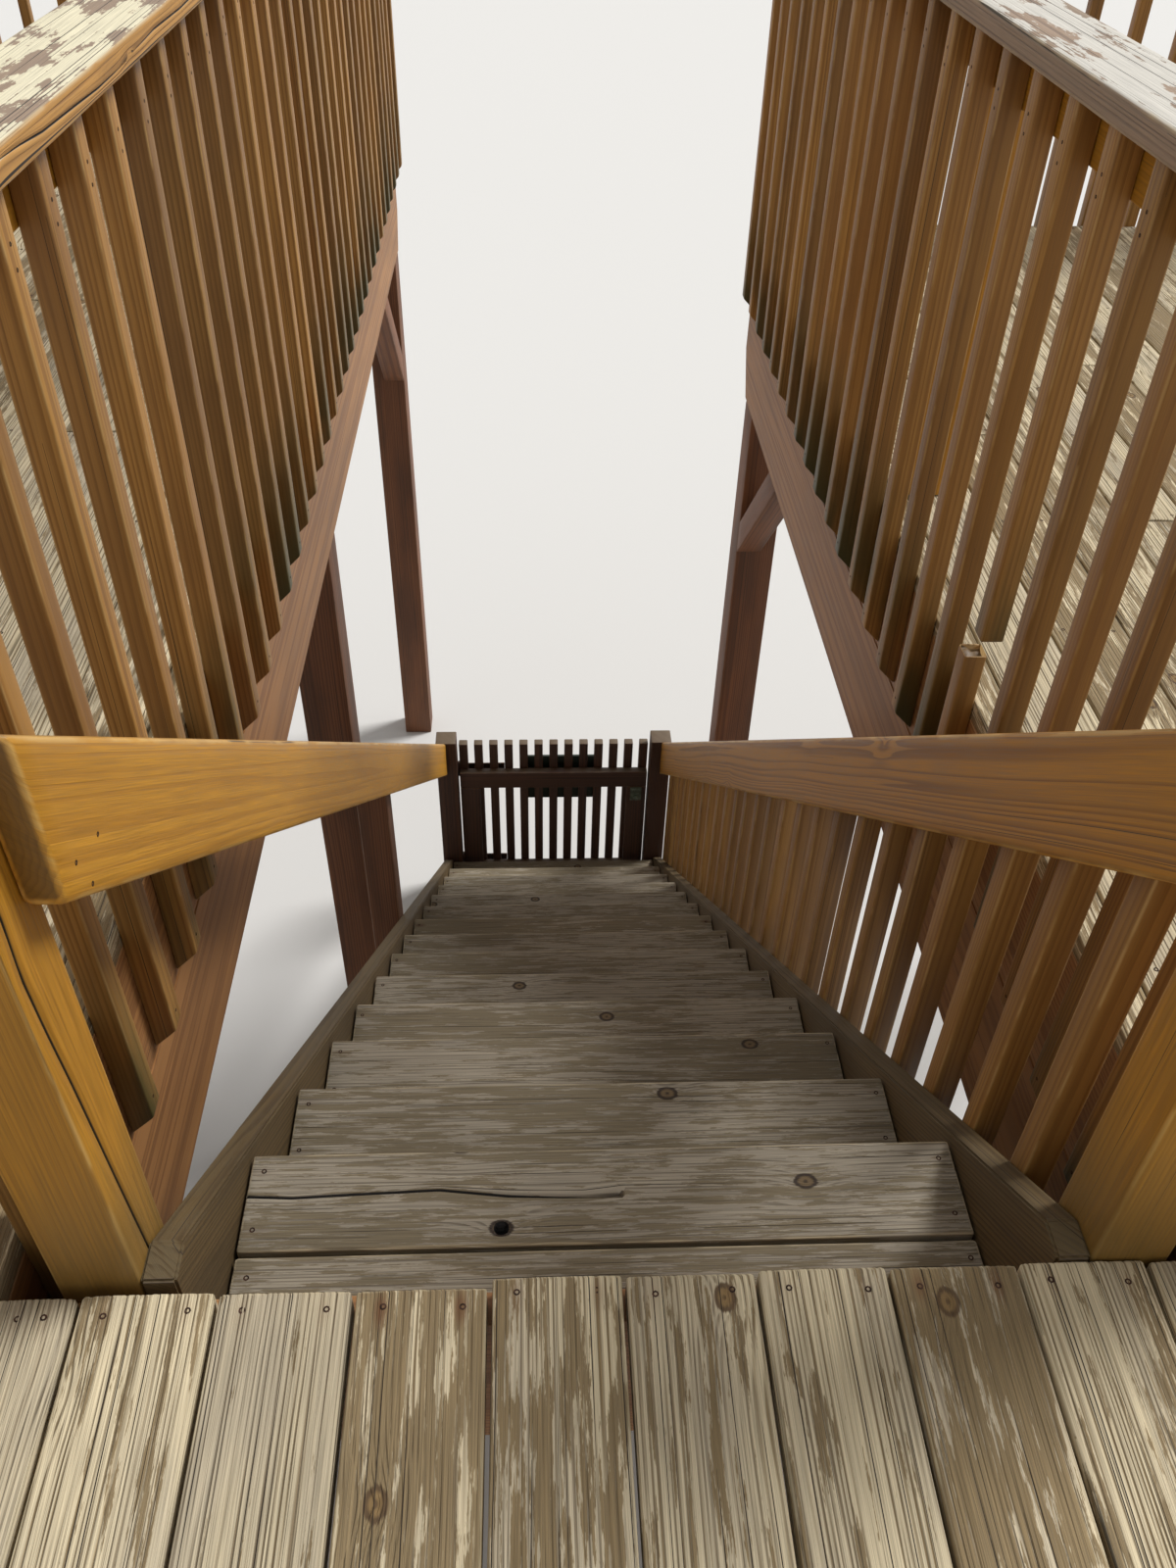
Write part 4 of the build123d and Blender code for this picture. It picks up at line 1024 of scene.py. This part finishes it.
baluster_groups = {"balusters_well_left": (1, 0, 0), "balusters_well_right": (-1, 0, 0)}
for side in ("left", "right"):
    baluster_groups["balusters_outer_" + side] = (-1 if side == "left" else 1, 0, 0)
    baluster_groups["balusters_end_" + side] = (0, 1, 0)
    dress("guard_posts_" + side, rail_stain, STAINED, wide=8, thick=8, long=20)
    dress("support_posts_" + side, support_stain, "support_timber", wide=8, thick=8, long=20)
    dress("joists_" + side, framing_wood, "framing", long=16, Round=2 * MM)
balusters = {}
for node in baluster_groups:
    fine = 8 if "well" in node else 6
    balusters[node] = dress(node, baluster_stain, STAINED, wide=fine, thick=fine, long=12, Bow=2 * MM,
                            marks=torn_ends if node == "balusters_well_right" else None)
dress("joists_head", framing_wood, "framing", long=16, Round=2 * MM)
handrail_left = dress("handrail_left", rail_stain, STAINED, wide=14, thick=7, long=140, Round=8 * MM)
dress("handrail_right", figured_stain, STAINED, wide=14, thick=7, long=140, Round=8 * MM)

near, far = near_and_far("stair_posts_left", NEAR_POST)
lay("stair_post_near_left", near, ["stair_posts_left"], post_stain, STAINED, wide=20, thick=20, long=160,
    Round=5 * MM, marks=post_check)
lay("stair_posts_far_left", far, ["stair_posts_left"], support_stain, STAINED, wide=10, thick=10, long=40,
    Round=5 * MM)
dress("stair_post_right", post_stain, STAINED, wide=12, thick=12, long=110, Round=5 * MM)
dress("foot_posts", gate_wood, STAINED, wide=8, thick=8, long=24)
dress("stair_balusters", baluster_stain, STAINED, long=12, Bow=2 * MM)
for node, wide in (("gate_stiles", 8), ("gate_rails", 8), ("gate_pickets", 6)):
    dress(node, gate_wood, "gate_timber", "gate", wide=wide, long=12)
dress("gate_sign_board", sign_wood, "painted_board", "gate", wide=8, long=12, Round=2 * MM, Wear=0.2 * MM)
for node, long in (("rims_stairwell", 80), ("rims_outer", 80), ("rims_wing_ends", 40),
                   ("header_stairwell", 30)):
    dress(node, rim_stain, "framing", wide=10, long=long)
dress("knee_braces", support_stain, "support_timber", long=14)
dress("sub_rails", rail_stain, STAINED, wide=8, long=30)
dress("sub_rails_ends", rail_stain, STAINED, wide=8, long=24)

cap = {"slot": "cap_boards", "Groove": 0.5 * MM}
plain_cap = {**cap, "wide": 20, "thick": 8, "Round": 7 * MM, "Wear": 1.2 * MM}
near, far = near_and_far("caps_sides", NEAR_CAP)
lay("cap_left_well", near, ["caps_sides"], cap_golden, wide=24, thick=18, long=340, marks=cap_checks,
    Round=5 * MM, Wear=0.8 * MM, **cap)
lay("caps_side_boards", far, ["caps_sides"], cap_grey, long=110, **plain_cap)
dress("caps_ends", cap_grey, long=70, **plain_cap)
dress("tread_cleats", framing_wood, "framing", long=8)

# the first tread's board is cut on its own, fine enough for its crack and knot hole
tread = {"slot": "tread_boards", "thick": 6, "Round": 5 * MM, "Wear": 1.4 * MM, "Groove": 0.5 * MM,
         "Crown": 1.0 * MM, **RIFT_SAWN}
fronts = sorted(timbers("tread_front_boards"), key=lambda board: -board["middle"][2])
backs = timbers("tread_back_boards")
tread_first = lay("tread_first_front", fronts[:1], ["tread_front_boards"], tread_wood, wide=50, long=220,
                  marks=first_tread_marks, **tread)
treads_front = lay("treads_front", fronts[1:], ["tread_front_boards"], tread_wood, wide=26, long=36, **tread)
treads_back = lay("treads_back", backs, ["tread_back_boards"], tread_wood, wide=26, long=36, **tread)


# Decking: boards run away from the head, over the joists, a screw near each edge

chance = np.random.default_rng(BOARD_SEED)


def run_of_boards(x_low, x_high, y_high, joints=None):
    """Boards of one field, cut at its sides, with a butt joint over a joist where they are too long."""
    boards = []
    k = math.floor((x_low - head_x) / BOARD_PITCH)
    while head_x + k * BOARD_PITCH < x_high - AT_EDGE:
        gap = chance.uniform(*BOARD_GAPS)
        a = max(head_x + k * BOARD_PITCH + gap / 2, x_low)
        b = min(head_x + (k + 1) * BOARD_PITCH - gap / 2, x_high)
        y_end = y_high - (SHORT_BOARDS if k < SHORT_TO and y_high < edge_y + MM else 0)
        k += 1
        if b - a < SLIVER:
            continue
        stops = [head_low.y, y_end]
        if joints:
            stops.insert(1, edge_y + JOIST_STEP * chance.integers(*joints))
        for c, d in zip(stops, stops[1:]):
            boards.append(deck_board((a, c + JOINT_GAP, head_low.z), (b, d - JOINT_GAP, head_high.z)))
    return boards


decking = {"slot": "deck_boards", "Round": 5 * MM, "Wear": 1.6 * MM, "Groove": 1.0 * MM, "Crown": 2.0 * MM,
           "Uneven_Height": 1.5 * MM, **RIFT_SAWN}
left_boards = run_of_boards(left_low.x, left_high.x, left_high.y, LEFT_JOINTS)
right_boards = run_of_boards(right_low.x, right_high.x, right_high.y, RIGHT_JOINTS)
head_boards = run_of_boards(left_high.x, right_low.x, edge_y)
decking_head = lay("decking_head", head_boards, ["deck_floor_head"], deck_wood, wide=60, long=38,
                   Uneven_Ends=4 * MM, **decking)
decking_left = lay("decking_left", left_boards, ["deck_floor_left"], deck_wood, wide=16, long=36,
                   Uneven_Ends=2 * MM, **decking)
decking_right = lay("decking_right", right_boards, ["deck_floor_right"], deck_wood, wide=16, long=36,
                    Uneven_Ends=2 * MM, **decking)


# Fixings: one low head on every point, sunk a little into the wood

def fixing_tree():
    """Geometry Nodes: a countersunk head with a round socket on every point, along the point's normal."""
    tree, given = new_tree("fixing on a point", {"Float": ["Radius", "Height", "Socket"],
                                                 "Material": ["Material"]})
    head = add(tree, "GeometryNodeMeshCylinder", HEAD_SIDES, 1, 1, given["Radius"], given["Height"])
    inset = add(tree, "GeometryNodeExtrudeMesh", head, head.outputs["Top"], None, 0.0, mode="FACES")
    small = add(tree, "GeometryNodeScaleElements", inset, inset.outputs["Top"], given["Socket"],
                domain="FACE")
    deeper = add(tree, MATHS, given["Height"], -0.5, operation="MULTIPLY")
    sunk = add(tree, "GeometryNodeExtrudeMesh", small, inset.outputs["Top"], None, deeper, mode="FACES")
    facing = add(tree, NAMED, "facing", data_type="FLOAT_VECTOR")
    turn = add(tree, "FunctionNodeAlignRotationToVector", None, 1.0, facing, axis="Z")
    many = add(tree, "GeometryNodeInstanceOnPoints", given["Geometry"], Instance=sunk, Rotation=turn)
    real = add(tree, "GeometryNodeRealizeInstances", many)
    real = add(tree, "GeometryNodeSetMaterial", real, Material=given["Material"])
    add(tree, "NodeGroupOutput", real)
    return tree


FIXING = fixing_tree()


def fix(name, timber, spots, facing, kind):
    """Drives a fixing where each spot meets the timber's face, looking back along facing."""
    faces = bvhtree.BVHTree.FromPolygons([v.co for v in timber.data.vertices],
                                         [p.vertices for p in timber.data.polygons])
    back = Vector(facing)
    found = [faces.ray_cast(Vector(spot) + back * PROBE_OUT, -back, PROBE_DEEP)[0] for spot in spots]
    seats = [spot - back * HEAD_DEPTH * HEAD_SUNK for spot in found if spot]
    mesh = bpy.data.meshes.new(name)
    mesh.from_pydata([tuple(seat) for seat in seats], [], [])
    store(mesh, "facing", [facing] * len(seats))
    radius, socket = kind
    piece = grow(name, mesh, FIXING, Radius=radius, Height=HEAD_DEPTH, Socket=socket, Material=fixing_rust)
    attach(piece, "deck")


def strayed(x, y, z, stray):
    """A screw's spot as a hand drives it, off by up to so many millimetres."""
    return (x + chance.uniform(-stray, stray) * MM, y + chance.uniform(-stray, stray) * MM, z)


def deck_screws(boards):
    """Two screws in each board near its ends and over every joist between."""
    spots = []
    for board in boards:
        half_wide, _, half_long = board["half"]
        if half_wide < SCREW_IN + NARROW:
            continue
        low, high = board["middle"][1] - half_long, board["middle"][1] + half_long
        joists = edge_y + JOIST_STEP * JOISTS
        if high < edge_y + AT_EDGE:
            joists = edge_y - HEAD_JOIST_IN + HEAD_JOIST_STEP * JOISTS
        rows = [low + SCREW_BACK, high - SCREW_BACK]
        rows += [y for y in joists if low + SCREW_ALONE < y < high - SCREW_ALONE]
        spots += [strayed(board["middle"][0] + way * (half_wide - SCREW_IN), y, deck_z, DECK_STRAY)
                  for y in rows for way in (-1, 1)]
    return spots


def tread_screws(boards):
    """Two screws through each end of a tread board into its cleat."""
    spots = []
    for board in boards:
        x, y, z = board["middle"]
        half_wide, half_thick, half_long = board["half"]
        spots += [strayed(x + way * (half_long - TREAD_SCREW_BACK), y + across * (half_wide - SCREW_IN),
                          z + half_thick, TREAD_STRAY) for way in (-1, 1) for across in (-1, 1)]
    return spots


def baluster_nails(node, facing):
    """Two nails near the top of each baluster and one near its foot, where it has that end whole."""
    sticks = timbers(node)
    middles = np.array([stick["middle"] for stick in sticks])
    reach = np.array([stick["half"][2] for stick in sticks])
    lows, highs = middles[:, 2] - reach, middles[:, 2] + reach
    spots = []
    for middle, low, high in zip(middles, lows, highs):
        out = middle + np.array(facing) * BALUSTER / 2
        if high > highs.max() - WHOLE:
            spots += [(out[0], out[1], high - NAIL_BELOW - down) for down in (0, NAILS_APART)]
        if low < lows.min() + WHOLE:
            spots.append((out[0], out[1], low + NAIL_ABOVE))
    return spots


for name, screws, boards, timber in (
        ("deck_screws_head", deck_screws, head_boards, decking_head),
        ("deck_screws_left", deck_screws, left_boards, decking_left),
        ("deck_screws_right", deck_screws, right_boards, decking_right),
        ("tread_screws_first", tread_screws, fronts[:1], tread_first),
        ("tread_screws_front", tread_screws, fronts[1:], treads_front),
        ("tread_screws_back", tread_screws, backs, treads_back)):
    fix(name, timber, screws(boards), UP, SCREW)
for node, facing in baluster_groups.items():
    fix("nails_" + node, balusters[node], baluster_nails(node, facing), facing, NAIL)
fix("rail_nails_left", handrail_left, [from_head(RAIL_FACE, y, z) for y, z in RAIL_NAILS], RIGHTWARD, NAIL)


# Stringers and beams: boards cut to an outline

def profiled(node, material, along, wide):
    """A board cut to an outline: the node's own shape with eased arrises and a grain direction."""
    mesh = nodes[node].data.copy()
    shape = bmesh.new()
    shape.from_mesh(mesh)
    bmesh.ops.remove_doubles(shape, verts=shape.verts, dist=MERGED)
    bmesh.ops.dissolve_limit(shape, angle_limit=math.radians(1), verts=shape.verts, edges=shape.edges)
    bmesh.ops.bevel(shape, geom=shape.edges[:], offset=EASED, segments=2, affect="EDGES", clamp_overlap=True)
    shape.to_mesh(mesh)
    shape.free()
    mesh.name = node + "_wood"
    count = len(mesh.vertices)
    places = np.empty(count * 3, dtype=np.float32)
    mesh.vertices.foreach_get("co", places)
    along, wide = Vector(along).normalized(), Vector(wide).normalized()
    local = places.reshape(-1, 3) @ np.array([wide, along.cross(wide), along]).T
    local = local - (local.max(axis=0) + local.min(axis=0)) / 2
    reach = local[:, 2].max()
    store(mesh, "grain", local + chance.uniform(*BEAM_SAWN))
    store(mesh, "ends", np.stack([local[:, 2] + reach, reach - local[:, 2], np.zeros(count)], axis=1))
    store(mesh, "tone", np.full(count, chance.uniform(*MIDDLE_TONES)), "FLOAT")
    store(mesh, "arris", np.zeros(count), "FLOAT")
    piece = bpy.data.objects.new(node + "_wood", mesh)
    scene.collection.objects.link(piece)
    mesh.materials.clear()
    mesh.materials.append(material)
    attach(piece, "deck")
    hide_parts(node)


for side in ("left", "right"):
    profiled("stringer_" + side, stringer_stain, (0, 1, -slope), (0, slope, 1))
for side in ("left", "right"):
    profiled("beams_" + side, rim_stain, (0, 1, 0), (0, 0, 1))

for node, material in (("hinge_brackets", strap_steel), ("hinge_straps", strap_steel),
                       ("gate_latch", latch_paint)):
    nodes[node].data.materials.clear()
    nodes[node].data.materials.append(material)


# Stage: pale floor, soft sky and one broad soft light

def stage():
    """A plain pale floor under a soft even light."""
    mesh = bpy.data.meshes.new("floor")
    h = FLOOR_HALF
    mesh.from_pydata([(-h, -h, 0), (h, -h, 0), (h, h, 0), (-h, h, 0)], [], [(0, 1, 2, 3)])
    floor = bpy.data.objects.new("floor", mesh)
    scene.collection.objects.link(floor)
    material, _, shader = new_material("floor_pale_matt")
    shader["Base Color"].default_value = linear("#DCDAD6")
    shader["Roughness"].default_value = 0.9
    mesh.materials.append(material)

    scene.world = bpy.data.worlds.new("soft sky")
    scene.world.use_nodes = True
    tree = scene.world.node_tree
    sky = tree.nodes["Background"].inputs
    sky["Color"].default_value = (1.0, 1.0, 1.0, 1.0)
    seen = add(tree, "ShaderNodeLightPath").outputs
    direct = add(tree, MATHS, seen["Is Camera Ray"], seen["Is Glossy Ray"], operation="MAXIMUM")
    direct = add(tree, MATHS, direct, seen["Is Transmission Ray"], operation="MAXIMUM")
    level = add(tree, RANGE, direct, 0.0, 1.0, WORLD_LEVEL, 1.0)
    tree.links.new(level.outputs[0], sky["Strength"])

    lamp = bpy.data.lights.new("key", "SUN")
    lamp.energy = KEY_LEVEL
    lamp.angle = KEY_SOFT
    key = bpy.data.objects.new("key", lamp)
    key.rotation_euler = KEY_FROM.to_track_quat("Z", "Y").to_euler()
    scene.collection.objects.link(key)


def camera():
    """The photograph's view: from the head of the flight, looking down it."""
    across = math.cos(CAMERA_DOWN)
    ahead = Vector((math.sin(CAMERA_YAW) * across, math.cos(CAMERA_YAW) * across, -math.sin(CAMERA_DOWN)))
    level = Vector((math.cos(CAMERA_YAW), -math.sin(CAMERA_YAW), 0))
    down = ahead.cross(level)
    right = math.cos(CAMERA_ROLL) * level + math.sin(CAMERA_ROLL) * down
    below = -math.sin(CAMERA_ROLL) * level + math.cos(CAMERA_ROLL) * down
    lens = bpy.data.cameras.new("camera")
    lens.sensor_fit = "VERTICAL"
    lens.sensor_height = SENSOR_HIGH
    lens.lens = FOCAL_PIXELS / IMAGE_HIGH * SENSOR_HIGH
    lens.clip_start = CLIP_NEAR
    lens.clip_end = CLIP_FAR
    eye = bpy.data.objects.new("camera", lens)
    turn = Matrix((right, -below, -ahead)).transposed()
    eye.matrix_world = Matrix.Translation(CAMERA_AT) @ turn.to_4x4()
    scene.collection.objects.link(eye)
    scene.camera = eye


stage()
camera()
scene.view_settings.view_transform = "Standard"
